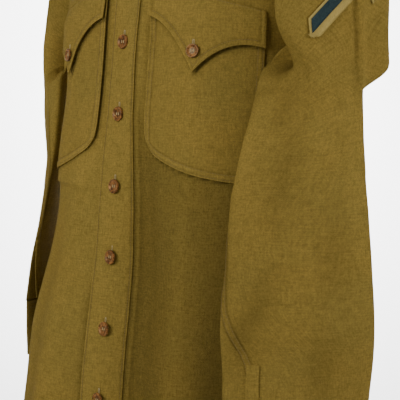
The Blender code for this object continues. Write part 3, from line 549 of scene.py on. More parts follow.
def quarter(level, side, front):
    """A quarter of a section, from the centre line to the side: points and lengths."""
    key = (round(level, 6), side, front)
    if key in quarter_cache:
        return quarter_cache[key]
    row = table_row(BODY, level)
    width = row.left if side > 0 else row.right
    depth = row.front if front else row.back
    power = 2.0 / row.square
    points = []
    for i in range(SECTION_SAMPLES + 1):
        angle = 0.5 * math.pi * i / SECTION_SAMPLES
        x = side * width * math.sin(angle) ** power
        y = (-1 if front else 1) * depth * max(math.cos(angle), 0.0) ** power
        points.append(Vector((x, y, level - shoulder_drop(level, x))))
    lengths = [0.0]
    for a, b in zip(points, points[1:]):
        lengths.append(lengths[-1] + (b - a).length)
    quarter_cache[key] = (points, lengths)
    return points, lengths


def half_girth(level, side):
    return quarter(level, side, True)[1][-1] + quarter(level, side, False)[1][-1]


def smooth_body(across, level):
    """The body without folds, at a distance from the centre front."""
    side = 1 if across >= 0 else -1
    distance = abs(across)
    points, lengths = quarter(level, side, True)
    if distance > lengths[-1]:
        distance = half_girth(level, side) - distance
        points, lengths = quarter(level, side, False)
        if distance < 0:
            distance = -distance
            points, lengths = quarter(level, -side, False)
    low, high = 0, len(lengths) - 1
    while high - low > 1:
        middle = (low + high) // 2
        if lengths[middle] <= distance:
            low = middle
        else:
            high = middle
    share = clamp((distance - lengths[low]) / max(lengths[high] - lengths[low], TINY))
    return points[low].lerp(points[high], share)


def raised_by(table, across, level):
    """How far a table's folds push the cloth out at a place."""
    height = 0.0
    for fold in table:
        t = (fold.top_level - level) / (fold.top_level - fold.end_level)
        if t < 0.0 or t > 1.0:
            continue
        centre = blend(fold.top_across, fold.end_across, t)
        width = blend(fold.top_width, fold.end_width, t)
        apart = (across - centre) / width
        if abs(apart) < 4.0:
            rise = blend(fold.top_height, fold.end_height, ease(t))
            height += rise * math.exp(-0.5 * apart**2)
    return height


def unevenness(place, salt):
    """The slight waviness of worn wool cloth."""
    height = 0.0
    for across, down, size in WAVES:
        height += size * noise.noise(Vector((place.x * across, place.y * across,
                                             place.z * down + salt)))
    return height


def cloth_height(place, across, level):
    """How far the folds, creases and waves push the cloth out."""
    height = unevenness(place, 1.0)
    reaches = [across]
    if abs(across) > BACK_MEETS_FROM:
        girth = half_girth(level, 1) + half_girth(level, -1)
        reaches.append(across - math.copysign(girth, across))
    for reach in reaches:
        height += raised_by(FOLDS, reach, level) + raised_by(CREASES, reach, level)
    return height


def body_normal(across, level):
    right = smooth_body(across - NORMAL_STEP, level)
    left = smooth_body(across + NORMAL_STEP, level)
    above = smooth_body(across, min(level + NORMAL_STEP, 0.0))
    below = smooth_body(across, level - NORMAL_STEP)
    return (left - right).cross(above - below).normalized()


def body_point(across, level, out=0.0):
    place = smooth_body(across, level)
    return place + body_normal(across, level) * (cloth_height(place, across, level) + out)


def armhole_across(level, side, front):
    """Where the armhole or the side seam cuts a panel at a level."""
    row = table_row(BODY, level)
    cut = max(row.arm_front if front else row.arm_back, 0.0)
    points, lengths = quarter(level, side, front)
    for i in range(SECTION_SAMPLES, 0, -1):
        if abs(points[i].y) >= cut:
            share = (cut - abs(points[i].y)) / (abs(points[i - 1].y) - abs(points[i].y) + TINY)
            length = blend(lengths[i], lengths[i - 1], clamp(share))
            break
    else:
        length = lengths[-1]
    if front:
        return length
    return half_girth(level, side) - length


def top_level(distance, neck_depth):
    """The level of the neckline, or of the shoulder seam beyond it."""
    if distance >= NECK_HALF:
        return -SEAM_GAP
    return -SEAM_GAP - neck_depth * math.sqrt(1.0 - (distance / NECK_HALF) ** 2)


def underlap(across):
    """The right front lies this much deeper near the centre, under the left front."""
    return UNDERLAP_STEP * ease((across - UNDERLAP_FROM) / UNDERLAP_OVER)


def pocket_share(distance):
    """How far across a pocket a distance from the centre line is, from 0 to 1."""
    return (distance - POCKET_INNER) / (POCKET_OUTER - POCKET_INNER)


def droop(distance):
    return POCKET_DROOP * pocket_share(distance)


def pocket_bottom(distance):
    """The pocket's lower edge: straight down the inner side, then one long round sweep."""
    share = pocket_share(distance)
    base = POCKET_BOTTOM - POCKET_DROOP * (1.0 - (1.0 - share) ** 2)
    inset = min(distance - POCKET_INNER, POCKET_OUTER - distance)
    rest = max(POCKET_CORNER - inset, 0.0)
    return base + POCKET_CORNER - math.sqrt(POCKET_CORNER**2 - rest**2)


def flap_bottom(distance):
    """The flap's lower edge: two hollow arcs that meet in a point, like a brace."""
    share = pocket_share(distance)
    if share < FLAP_POINT_SHARE:
        to_point = share / FLAP_POINT_SHARE
    else:
        to_point = (1.0 - share) / (1.0 - FLAP_POINT_SHARE)
    return FLAP_TOP - droop(distance) - FLAP_SIDE - FLAP_POINT_DROP * to_point**FLAP_ARC_POWER


def flap_out(share):
    """How far the flap stands off the front, from its sewn edge down to its free edge."""
    over_pocket = (LAID_WALL + 3 * LAY_GAP) * ease(share / FLAP_RISE_SHARE)
    return LAID_OUT + over_pocket + FLAP_LIFT * share**2


# The sleeves' surface

def sleeve_turns():
    """The columns' turns round a sleeve, closer together beside the underarm seam."""
    shares = [i / SLEEVE_COLUMNS for i in range(SLEEVE_COLUMNS)]
    return [360.0 * share + SEAM_CLOSENESS * math.sin(2.0 * math.pi * share)
            for share in shares]


def seam_slide(side_name, level):
    """How far the underarm seam has turned by a level."""
    table = SEAM_SLIDES[side_name]
    for (high, before), (low, after) in zip(table, table[1:]):
        if level >= low:
            return blend(before, after, clamp((high - level) / (high - low)))
    return table[-1][1]


def sleeve_head(side, turns):
    """The armhole's edge as points from the shoulder down the front and up the back."""
    points = []
    for turn in turns:
        front = turn <= 180.0
        down = turn if front else 360.0 - turn
        level = min(ARMHOLE_BOTTOM * seam_share(down), -SEAM_GAP)
        across = armhole_across(level, side, front)
        across += ARMHOLE_GAP if front else -ARMHOLE_GAP
        place = body_point(side * across, level)
        points.append(place + Vector((side * ARMHOLE_GAP, 0.0, 0.0)))
    return points


def ring_point(row, side, turn, arm):
    """A sleeve section's point. turn 0 is the shoulder fold, 180 the underarm seam."""
    angle = math.radians(turn + row.seam_turn * seam_share(turn))
    axis = math.radians(row.axis + arm.turn)
    along = Vector((math.cos(axis), math.sin(axis), 0.0))
    outward = Vector((math.sin(axis), -math.cos(axis), 0.0))
    sine = math.sin(angle)
    thick = math.copysign(abs(sine) ** SLEEVE_EDGE_SHARPNESS, sine)
    half_thick = row.half_thick * arm.thickness
    flat = along * (row.half_long * math.cos(angle)) + outward * (half_thick * thick)
    sunk = row.tilt * seam_share(turn)
    bent = ease((ARM_BENDS_FROM - row.level) / ARM_BENDS_OVER)
    move_out = blend(arm.out_above, arm.out_below, bent)
    return Vector((side * (row.x + move_out + flat.x), row.y + arm.move_back + flat.y,
                   row.level - sunk))


def seam_share(turn):
    """The seam turns round the sleeve while the shoulder fold stays where it is."""
    return 0.5 * (1.0 - math.cos(math.radians(turn)))


def sleeve_fullness(side, turn, place, seam, looseness):
    """How far the loose cloth of a sleeve hangs out, in front and behind."""
    moved = Vector((0.0, 0.0, 0.0))
    for full in SLEEVE_FULLNESS:
        turned_by = (turn - full.turn + 180.0) % 360.0 - 180.0
        around = math.exp(-0.5 * (turned_by / full.spread) ** 2)
        reach = full.above if place.z > full.level else full.below
        down = math.exp(-0.5 * ((place.z - full.level) / reach) ** 2)
        clear_of_seam = ease((place - seam).length / HEAD_SEAM_SPAN)
        size = looseness * full.size * around * down * clear_of_seam
        moved += Vector((side * full.x * size, full.y * size, 0.0))
    return place + moved


def head_row(side, t, start, first, turns):
    """A row of the sleeve's head, t of the way from the armhole to the first section."""
    row = []
    for begin, end, turn in zip(start, first, turns):
        turn = math.radians(turn)
        at_fold = 0.5 * (1.0 + math.cos(turn))
        forward = max(math.sin(turn), 0.0)
        under = max(-math.sin(turn), 0.0) * (1.0 - at_fold)
        out = HEAD_LEAVES_OUT + HEAD_LEAVES_OUT_AT_FOLD * at_fold
        out += HEAD_LEAVES_OUT_UNDER * under
        leave = Vector((side * out, -HEAD_LEAVES_FORWARD * forward, 0.0))
        down = HEAD_ARRIVES_DOWN + HEAD_ARRIVES_DOWN_AT_FOLD * at_fold
        arrive = Vector((0.0, 0.0, -down))
        row.append(curve(begin, leave, end, arrive, t))
    return row


def grid_normals(rows):
    """The direction out of a tube at each point of its rows."""
    normals = []
    count = len(rows[0])
    last = len(rows) - 1
    for k, row in enumerate(rows):
        above, below = rows[max(k - 1, 0)], rows[min(k + 1, last)]
        middle = sum(row, Vector()) / count
        found = []
        for i, point in enumerate(row):
            around = row[(i + 1) % count] - row[i - 1]
            normal = around.cross(below[i] - above[i]).normalized()
            found.append(normal if normal.dot(point - middle) > 0.0 else -normal)
        normals.append(found)
    return normals


class Tube:
    """A sleeve or cuff as rows of points from the top down, with directions outwards."""

    def __init__(self, rows, turns, side_name=None, raised=0.0):
        self.rows = rows
        self.turns = turns
        self.side_name = side_name
        self.raised = raised
        self.tones = [[0.0] * len(turns) for _ in rows]
        self.normals = grid_normals(rows)
        self.count = len(turns)
        self.under = min(range(self.count), key=lambda i: abs(turns[i] - 180.0))
        self.falls = [[-row[i].z for row in rows] for i in range(self.count)]
        self.widths = [sum((a - b).length for a, b in zip(row, row[1:] + row[:1]))
                       for row in rows]
        self.depths = [0.0]
        for a, b in zip(rows, rows[1:]):
            step = sum((p - q).length for p, q in zip(a, b)) / self.count
            self.depths.append(self.depths[-1] + step)

    def spot(self, turn, level, out):
        """A place by turn and level, moved out, with its direction outwards."""
        turn = self.column_turn(turn % 360.0, level)
        first = bisect.bisect_right(self.turns, turn) - 1
        second = (first + 1) % self.count
        span = (self.turns[second] - self.turns[first]) % 360.0
        between = (turn - self.turns[first]) / span
        found = []
        for i in (first, second):
            fall = self.falls[i]
            k = min(max(bisect.bisect_left(fall, -level), 1), len(fall) - 1)
            share = clamp((-level - fall[k - 1]) / max(fall[k] - fall[k - 1], TINY))
            normal = self.normals[k - 1][i].lerp(self.normals[k][i], share).normalized()
            found.append((self.rows[k - 1][i].lerp(self.rows[k][i], share), normal))
        normal = found[0][1].lerp(found[1][1], between).normalized()
        return found[0][0].lerp(found[1][0], between) + normal * out, normal

    def column_turn(self, turn, level):
        """The turn, before the seam slid, of the cloth that is at a turn now."""
        if self.side_name is None:
            return turn
        slide = seam_slide(self.side_name, level - self.raised)
        found = turn
        for _ in range(SLIDE_TRIES):
            found = blend(found, turn - slide * seam_share(found), 0.6)
        return found % 360.0

    def beside(self, k, start, aside, out):
        """On row k, a place at a distance along the cloth from a column."""
        step = 1 if aside > 0.0 else -1
        i = start
        left = abs(aside)
        while True:
            j = (i + step) % self.count
            span = (self.rows[k][j] - self.rows[k][i]).length
            if span >= left:
                break
            left -= span
            i = j
        share = left / max(span, TINY)
        normal = self.normals[k][i].lerp(self.normals[k][j], share).normalized()
        return self.rows[k][i].lerp(self.rows[k][j], share) + normal * out, normal

    def down_seam(self, aside, out):
        """A line down the tube beside its underarm seam."""
        return [self.beside(k, self.under, aside, out) for k, row in enumerate(self.rows)
                if row[self.under].z < SEAM_RISES_FROM - 0.01]

    def around(self, depth, out):
        """A line round the tube at a depth from its top, or from its end if negative."""
        target = depth if depth >= 0.0 else self.depths[-1] + depth
        k = min(max(bisect.bisect_left(self.depths, target), 1), len(self.rows) - 1)
        share = (target - self.depths[k - 1]) / (self.depths[k] - self.depths[k - 1])
        line = [(a.lerp(b, share) + n * out, n)
                for a, b, n in zip(self.rows[k - 1], self.rows[k], self.normals[k])]
        return line + line[:1]


def sleeve_crease_height(creases, place, row, turns):
    """How far the finer creases push the sleeve out at a place on a row."""
    height = 0.0
    for crease in creases:
        t = (crease.top_level - place.z) / (crease.top_level - crease.end_level)
        if t <= 0.0 or t >= 1.0:
            continue
        turn = blend(crease.top_turn, crease.end_turn, t)
        middle = row[bisect.bisect_left(turns, turn) % len(row)]
        apart = (place - middle).length / crease.width
        height += crease.height * math.sin(math.pi * t) * math.exp(-0.5 * apart**2)
    return height


def seam_band(distance, along, width=0.5 * SEAM_BAND):
    """The height of a sewn seam's puckered band beside its middle line or edge."""
    edge = ease((width + 0.0012 - distance) / 0.0012)
    pucker = 1.0 + 0.9 * noise.noise(Vector((along * 120.0, 4.0, 2.0)))
    return SEAM_BAND_RISE * edge * pucker


def seam_seen(height):
    """The underarm seam lies flat, pressed under, in the upper sleeve."""
    return ease((SEAM_RISES_FROM - height) / 0.03)


def sleeve_tube(side_name):
    """A sleeve's surface from the armhole to the cuff, with its seam and creases."""
    side = SIDES[side_name]
    arm = ARMS[side_name]
    turns = sleeve_turns()
    start = sleeve_head(side, turns)
    first = [ring_point(SLEEVE[0], side, turn, arm) for turn in turns]
    rows = [head_row(side, k / HEAD_ROWS, start, first, turns) for k in range(HEAD_ROWS)]
    top, bottom = SLEEVE[0].level, SLEEVE[-1].level
    slid = [turns for k in range(HEAD_ROWS)]
    for k in range(TUBE_ROWS + 1):
        level = blend(top, bottom, k / TUBE_ROWS)
        row = table_row(SLEEVE, level)
        slide = seam_slide(side_name, level)
        slid.append([turn + slide * seam_share(turn) for turn in turns])
        rows.append([ring_point(row, side, turn, arm) for turn in slid[-1]])
    rows = [[sleeve_fullness(side, turn, place, start[i], arm.fullness)
             for i, (turn, place) in enumerate(zip(slid[k], row))]
            for k, row in enumerate(rows)]
    normals = grid_normals(rows)
    under = min(range(len(turns)), key=lambda i: abs(turns[i] - 180.0))
    finished = []
    tones = []
    for k, row in enumerate(rows):
        raised = arm.raise_by * clamp((k - HEAD_ROWS) / TUBE_ROWS)
        calm = ease(k / HEAD_ROWS)
        new = []
        tones.append([])
        for i, place in enumerate(row):
            height = calm * sleeve_crease_height(SLEEVE_CREASES[side_name], place, row, slid[k])
            # Painted shade in the creases' hollows and painted highlight on their ridges
            tones[-1].append(max(-0.45, min(0.22, SLEEVE_PAINTED_SHADING * height)))
            height += seam_band((place - row[under]).length, place.z) * seam_seen(place.z)
            height += unevenness(place, 5.0 + side) * calm
            new.append(place + normals[k][i] * height + Vector((0.0, 0.0, raised)))
        finished.append(new)
    made = Tube(finished, turns, side_name, arm.raise_by)
    made.tones = tones
    return made


def cuff_tube(side_name):
    """A cuff's surface. Its buttoned end laps over, as a slight step."""
    side = SIDES[side_name]
    arm = ARMS[side_name]
    turns = sleeve_turns()
    raised = Vector((0.0, 0.0, arm.raise_by))
    rows = []
    for k in range(CUFF_ROWS + 1):
        row = table_row(CUFF, blend(CUFF[0].level, CUFF[-1].level, k / CUFF_ROWS))
        rows.append([ring_point(row, side, turn, arm) + raised for turn in turns])
    normals = grid_normals(rows)
    lapped = []
    for row, directions in zip(rows, normals):
        new = []
        for place, normal, turn in zip(row, directions, turns):
            over = ease((turn - CUFF_LAP_TURNS[0]) / CUFF_LAP_TURNS[1])
            over *= ease((CUFF_LAP_TURNS[2] - turn) / CUFF_LAP_TURNS[3])
            rise = CUFF_LAP_RISE * over + 0.5 * unevenness(place, 11.0)
            new.append(place + normal * rise)
        lapped.append(new)
    return Tube(lapped, turns)


tubes = {}


def tube(name):
    """A sleeve or cuff's surface, worked out once."""
    if name not in tubes:
        side_name, kind = name.split("_")
        tubes[name] = sleeve_tube(side_name) if kind == "sleeve" else cuff_tube(side_name)
    return tubes[name]


def chevron_level(sleeve, turn, below):
    """The level of the chevron's upper edge, or of a line below it, at a turn."""
    level = CHEVRON_APEX_LEVEL - below - CHEVRON_REACH * CHEVRON_SLOPE
    for _ in range(CHEVRON_LEVEL_TRIES):
        from_fold = sleeve.spot(turn, level, 0.0)[0] - sleeve.spot(0.0, level, 0.0)[0]
        reach = min(math.hypot(from_fold.x, from_fold.y), CHEVRON_REACH)
        level = CHEVRON_APEX_LEVEL - below - reach * CHEVRON_SLOPE
    return level


# The collar's surface


def neck_points():
    """The neckline from the left front's edge round the back to the right front's."""
    front = [blend(-STAND_OVERLAP, NECK_HALF, i / NECK_FRONT_STEPS)
             for i in range(NECK_FRONT_STEPS + 1)]
    points = [body_point(across, top_level(abs(across), FRONT_NECK_DEPTH)) for across in front]
    for i in range(1, NECK_BACK_STEPS):
        from_centre = NECK_HALF * (1.0 - 2.0 * i / NECK_BACK_STEPS)
        level = top_level(abs(from_centre), BACK_NECK_DEPTH)
        side = 1 if from_centre >= 0 else -1
        points.append(body_point(side * (half_girth(level, side) - abs(from_centre)), level))
    for across in reversed(front):
        points.append(body_point(-across, top_level(abs(across), FRONT_NECK_DEPTH)))
    return points


def collar_frame():
    """Neck points with the direction away from the neck's axis at each."""
    points = neck_points()
    frame = []
    for i, point in enumerate(points):
        away = Vector((point.x, point.y - NECK_CENTRE_Y, 0.0)).normalized()
        frame.append((point, away, i / (len(points) - 1)))
    return frame


# Finishes

def shader_nodes(name):
    """A new material, its node maker, its linker and its shader."""
    finish = bpy.data.materials.new(name)
    finish.use_nodes = True
    tree = finish.node_tree
    shader = tree.nodes["Principled BSDF"]

    def node(kind, **values):
        made = tree.nodes.new(kind)
        for key, value in values.items():
            if key in made.inputs.keys():
                made.inputs[key].default_value = value
            else:
                setattr(made, key, value)
        return made

    return finish, node, tree.links.new, shader


def scaled(colour, share):
    return tuple(clamp(channel * share) for channel in colour) + (1.0,)


def noise_from(node, link, place, values):
    """A noise texture on an object's coordinates."""
    texture = node("ShaderNodeTexNoise", **values)
    link(place.outputs["Object"], texture.inputs["Vector"])
    return texture.outputs["Fac"]


def ramp_from(node, link, value, low_at, low, high_at, high):
    """A colour between two colours, by a value between two positions."""
    ramp = node("ShaderNodeValToRGB")
    first, second = ramp.color_ramp.elements
    first.position = low_at
    first.color = low
    second.position = high_at
    second.color = high
    link(value, ramp.inputs["Fac"])
    return ramp.outputs["Color"]


def product(node, link, first, second):
    """Two colours multiplied."""
    mix = node("ShaderNodeMix", data_type="RGBA", blend_type="MULTIPLY")
    mix.inputs["Factor"].default_value = 1.0
    link(first, mix.inputs[6])
    link(second, mix.inputs[7])
    return mix.outputs[2]


def added(node, link, value, factor, other):
    """A value times a factor, added to another value."""
    total = node("ShaderNodeMath", operation="MULTIPLY_ADD")
    total.inputs[1].default_value = factor
    link(value, total.inputs[0])
    link(other, total.inputs[2])
    return total.outputs["Value"]


def bumped(node, link, shader, height, strength, distance):
    """Raise the shader's surface by a height."""
    bump = node("ShaderNodeBump", Strength=strength, Distance=distance)
    link(height, bump.inputs["Height"])
    link(bump.outputs["Normal"], shader.inputs["Normal"])


def woven_grain(node, link, place, flecks):
    """Flecks crossed with the unevenness of the warp and the weft, from 0 to 1."""
    yarns = []
    for stretch in (YARN_SCALE, tuple(reversed(YARN_SCALE))):
        mapping = node("ShaderNodeMapping", Scale=stretch + (1.0,))
        yarn = node("ShaderNodeTexNoise", **YARN)
        link(place.outputs["UV"], mapping.inputs["Vector"])
        link(mapping.outputs["Vector"], yarn.inputs["Vector"])
        yarns.append(yarn)
    crossed = node("ShaderNodeMath", operation="ADD")
    link(yarns[0].outputs["Fac"], crossed.inputs[0])
    link(yarns[1].outputs["Fac"], crossed.inputs[1])
    grain = node("ShaderNodeMath", operation="MULTIPLY")
    grain.inputs[1].default_value = 0.25
    link(added(node, link, flecks, 2.0, crossed.outputs["Value"]), grain.inputs[0])
    return grain.outputs["Value"]


def cloth_finish(name, colour, spread, nap, sheen, weave):
    """Woven wool: flecks of lighter and darker fibre, a soft nap, a fine twill and sheen."""
    finish, node, link, shader = shader_nodes(name)
    place = node("ShaderNodeTexCoord")
    flecks = noise_from(node, link, place, FLECKS)
    mottle = noise_from(node, link, place, MOTTLE)
    wear = noise_from(node, link, place, WEAR)
    wool = ramp_from(node, link, woven_grain(node, link, place, flecks),
                     0.38, scaled(colour, 1.0 - spread), 0.62, scaled(colour, 1.0 + spread))
    patches = ramp_from(node, link, mottle,
                        0.30, (0.94, 0.95, 0.94, 1.0), 0.72, (1.05, 1.04, 1.05, 1.0))
    faded = ramp_from(node, link, wear,
                      0.34, (0.96, 0.98, 0.99, 1.0), 0.66, (1.04, 1.02, 1.00, 1.0))
    varied = product(node, link, product(node, link, wool, patches), faded)
    # Painted shade and highlight from the attribute darken and lighten the wool's colour
    tone = node("ShaderNodeAttribute", attribute_name="tone")
    lift = node("ShaderNodeMapRange")
    lift.inputs["From Min"].default_value = -1.0
    lift.inputs["From Max"].default_value = 1.0
    lift.inputs["To Min"].default_value = PAINTED_LIGHT_RANGE[0]
    lift.inputs["To Max"].default_value = PAINTED_LIGHT_RANGE[1]
    link(tone.outputs["Fac"], lift.inputs["Value"])
    shaded = node("ShaderNodeVectorMath", operation="SCALE")
    link(varied, shaded.inputs[0])
    link(lift.outputs["Result"], shaded.inputs["Scale"])
    link(shaded.outputs["Vector"], shader.inputs["Base Color"])
    twill = node("ShaderNodeTexWave", Scale=weave, Distortion=1.2, Detail=1.0)
    twill.bands_direction = "DIAGONAL"
    link(place.outputs["UV"], twill.inputs["Vector"])
    fibres = noise_from(node, link, place, FIBRES)
    height = added(node, link, twill.outputs["Fac"], TWILL_HEIGHT, fibres)
    height = added(node, link, mottle, MOTTLE_HEIGHT, height)
    bumped(node, link, shader, height, nap, 0.0007)
    shader.inputs["Roughness"].default_value = 0.95
    shader.inputs["Specular IOR Level"].default_value = 0.02
    shader.inputs["Sheen Weight"].default_value = sheen
    shader.inputs["Sheen Roughness"].default_value = 0.55
    shader.inputs["Sheen Tint"].default_value = scaled(colour, 2.4)
    return finish


def horn_finish(name, dark, light):
    """Polished horn: brown, with streaks of amber."""
    finish, node, link, shader = shader_nodes(name)
    place = node("ShaderNodeTexCoord")
    streaks = noise_from(node, link, place, STREAKS)
    marbled = ramp_from(node, link, streaks, 0.40, tuple(dark) + (1.0,),
                        0.66, tuple(light) + (1.0,))
    link(marbled, shader.inputs["Base Color"])
    bumped(node, link, shader, noise_from(node, link, place, SCRATCHES), 0.08, 0.0003)
    shader.inputs["Roughness"].default_value = 0.34
    shader.inputs["Specular IOR Level"].default_value = 0.35
    shader.inputs["Specular Tint"].default_value = (1.0, 0.80, 0.50, 1.0)
    return finish


def thread_finish(name, colour):
    """Spun thread: fine turns of lighter and darker fibre."""
    finish, node, link, shader = shader_nodes(name)
    fibres = noise_from(node, link, node("ShaderNodeTexCoord"), SPUN)
    spun = ramp_from(node, link, fibres, 0.0, scaled(colour, 0.7), 1.0, scaled(colour, 1.25))
    link(spun, shader.inputs["Base Color"])
    shader.inputs["Roughness"].default_value = 0.8
    return finish


finishes = {}


def finish_for(kind):
    """The finish of a kind of piece, made once from the panel's colours."""
    if kind not in finishes:
        scene = bpy.context.scene
        wool, patch, horn = scene.shirt_cloth, scene.shirt_patch, scene.shirt_buttons
        thread = scene.shirt_sewing
        finishes[kind] = {
            "wool": lambda: cloth_finish("Wool_flannel", wool.colour, 0.30, wool.nap,
                                         wool.sheen, 380.0),
            "felt": lambda: cloth_finish("Tan_felt", patch.felt, 0.16, 0.7, 0.2, 700.0),
            "stripe": lambda: cloth_finish("Stripe_felt", patch.stripe, 0.22, 0.6, 0.2,
                                           700.0),
            "horn": lambda: horn_finish("Brown_horn", horn.dark, horn.light),
            "thread": lambda: thread_finish("Wool_thread", thread.colour),
            "cream": lambda: thread_finish("Buttonhole_thread", thread.buttonhole),
        }[kind]()
    return finishes[kind]


# Meshes

def new_object(name, shape, kind):
    """A bmesh as an object at the origin, shaded smooth, which rides on the body."""
    mesh = bpy.data.meshes.new(name)
    shape.to_mesh(mesh)
    shape.free()
    mesh.shade_smooth()
    mesh.materials.append(finish_for(kind))
    thing = bpy.data.objects.new(name, mesh)
    bpy.context.scene.collection.objects.link(thing)
    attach(thing, "root")
    return thing


def sheet_object(name, columns, rows, place, kind="wool", wall=WALL, closed=False):
    """A wall of cloth. place(i, j) gives a grid point's place, its cloth UV and its painted shade
    and highlight, for columns that run to the wearer's left and rows that run up."""
    shape = bmesh.new()
    bmesh.ops.create_grid(shape, x_segments=columns, y_segments=rows, size=0.5)
    uv_layer = shape.loops.layers.uv.new("Cloth")
    painted_light_layer = shape.verts.layers.float.new("tone")
    uvs = {}
    for vert in shape.verts:
        i = round((vert.co.x + 0.5) * columns)
        j = round((vert.co.y + 0.5) * rows)
        vert.co, uvs[vert], vert[painted_light_layer] = place(i, j)
    for face in shape.faces:
        for loop in face.loops:
            loop[uv_layer].uv = uvs[loop.vert]
    if closed:
        bmesh.ops.remove_doubles(shape, verts=shape.verts, dist=0.00001)
    thing = new_object(name, shape, kind)
    thicken = thing.modifiers.new("Wall", "SOLIDIFY")
    thicken.thickness = wall
    thicken.offset = -1.0
    return thing


def mirrored(side, columns, place):
    """The place function of a piece whose columns run outwards on either side."""
    return place if side > 0 else lambda i, j: place(columns - i, j)


def near(distance, width):
    """1 on a line, falling to 0 at about two widths from it."""
    return math.exp(-((distance / width) ** 2))


# Body panels

def panel_level(distance, row, neck_depth):
    """The level of a row in a column at a distance from the centre line."""
    if row <= SQUARE_ROWS:
        return blend(HEM_LEVEL, SQUARE_ROWS_TOP, row / SQUARE_ROWS)
    top = top_level(distance, neck_depth)
    return blend(SQUARE_ROWS_TOP, top, (row - SQUARE_ROWS) / TOP_ROWS)


def hem_band(level):
    """The turned hem stands slightly off the panel, as an even band."""
    return seam_band(level - HEM_LEVEL, 0.0, HEM_DEEP)


def seam_edge_painted_light(distance):
    """Painted shade in a line beside a sewn band, and a painted highlight on its edge."""
    return 0.12 * near(distance, 0.0015) - 0.30 * near(distance - SEAM_BAND - 0.001, 0.0011)


def painted_fold_shading(across, level):
    """Painted shade in the hollows of the folds and creases, and painted highlight on their
    ridges.
    """
    deep = FOLD_PAINTED_SHADING * raised_by(FOLDS, across, level)
    fine = CREASE_PAINTED_SHADING * raised_by(CREASES, across, level)
    return max(-0.42, min(0.06, deep)) + max(-0.40, min(0.20, fine))


def shadow_beside(distance, width):
    """The dark line on the cloth just beside a laid piece's edge."""
    return -0.75 * near(distance, width) if distance > -0.0005 else 0.0


def laid_shadow(across, level):
    """Dark lines on a front beside the placket and the pocket."""
    distance = abs(across)
    if across > 0.0:
        tone = shadow_beside(across - FRONT_EDGE, 0.0016)
        tone -= 0.60 * near(across - VALLEY_ACROSS, 0.0024) * ease((-0.30 - level) / 0.06)
    else:
        deep = ease((PLACKET_LIFTS_FROM - level) / 0.06)
        tone = shadow_beside(-FRONT_EDGE - across, blend(0.0016, 0.0075, deep))
    if POCKET_INNER - 0.008 < distance < POCKET_OUTER and level < POCKET_TOP:
        bottom = pocket_bottom(max(distance, POCKET_INNER))
        if distance <= POCKET_INNER and level > bottom:
            tone += shadow_beside(POCKET_INNER - distance, 0.0016)
        elif distance > POCKET_INNER and level <= bottom:
            tone += shadow_beside(bottom - level, 0.0026)
    return max(tone, -0.85)


def front_object(name, side):
    """One front panel. The right one goes on under the left one's placket."""
    inner = -FRONT_EDGE if side > 0 else -RIGHT_FRONT_EDGE
    columns = FRONT_NECK_COLUMNS + FRONT_OUTER_COLUMNS
    rows = SQUARE_ROWS + TOP_ROWS
    edges = [armhole_across(panel_level(NECK_HALF, j, 0.0), side, True) - SEAM_GAP
             for j in range(rows + 1)]

    def place(i, j):
        if i <= FRONT_NECK_COLUMNS:
            share = i / FRONT_NECK_COLUMNS
            share = 0.5 * (share + math.sin(0.5 * math.pi * share))
            distance = blend(inner, NECK_HALF, share)
        else:
            share = (i - FRONT_NECK_COLUMNS) / FRONT_OUTER_COLUMNS
            share = blend(share, math.sin(0.5 * math.pi * share), 0.4)
            distance = blend(NECK_HALF, edges[j], share)
        level = panel_level(abs(distance), j, FRONT_NECK_DEPTH)
        across = side * distance
        from_edge = edges[j] - distance
        out = seam_band(from_edge, level, SEAM_BAND) + hem_band(level)
        if side < 0:
            out -= underlap(across)
        # Painted shade and highlight beside the side seam and the hem and on the folds, and
        # painted shadow beside the laid pieces
        tone = seam_edge_painted_light(from_edge) + seam_edge_painted_light(level - HEM_LEVEL - HEM_DEEP + SEAM_BAND)
        tone += painted_fold_shading(across, level) + laid_shadow(across, level)
        # Painted shade over the lower left front beyond the valley beside the placket's strip
        if side > 0:
            lower = ease((-0.30 - level) / 0.08)
            tone -= LEFT_SHADE * ease((across - VALLEY_ACROSS) / 0.004) * lower
        return body_point(across, level, out), (across, level), tone

    thing = sheet_object(name + "_cloth", columns, rows, mirrored(side, columns, place))
    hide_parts(name)
    return thing


def back_object():
    """The back panel, from the right side seam and armhole round to the left."""
    count = BACK_COLUMNS_A_SIDE
    rows = SQUARE_ROWS + TOP_ROWS
    widths = {}
    for side in (1, -1):
        widths[side] = []
        for j in range(rows + 1):
            level = panel_level(NECK_HALF, j, 0.0)
            edge = armhole_across(level, side, False) + SEAM_GAP
            widths[side].append(half_girth(level, side) - edge)

    def place(i, j):
        side = 1 if i <= count else -1
        share = i / count if side > 0 else (2 * count - i) / count
        from_edge = widths[side][j] * share
        from_centre = widths[side][j] - from_edge
        level = panel_level(from_centre, j, BACK_NECK_DEPTH)
        across = side * (half_girth(level, side) - from_centre)
        from_top = top_level(max(from_centre, NECK_HALF), 0.0) - level
        out = seam_band(from_top, across, SEAM_BAND) + hem_band(level)
        # Painted shade and highlight beside the shoulder seam and the hem, and on the folds
        tone = seam_edge_painted_light(from_top) + seam_edge_painted_light(level - HEM_LEVEL - HEM_DEEP + SEAM_BAND)
        tone += painted_fold_shading(across, level)
        uv = (side * (half_girth(SQUARE_ROWS_TOP, side) - from_centre), level)
        return body_point(across, level, out), uv, tone

    thing = sheet_object("back_cloth", 2 * count, rows, place)
    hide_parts("back")
    return thing


# Placket, pockets and flaps

def laid_out(from_edge):
    """How far a laid piece stands off the panel: its edges are sewn down closer."""
    return LAID_OUT - 0.0003 * near(from_edge, 0.0014)


def stitched_painted_light(from_edge, stitch_in):
    """A painted highlight along the edge, and painted shade in the dent along its stitches."""
    return 0.30 * near(from_edge, 0.0011) - 0.42 * near(from_edge - stitch_in, 0.0010)


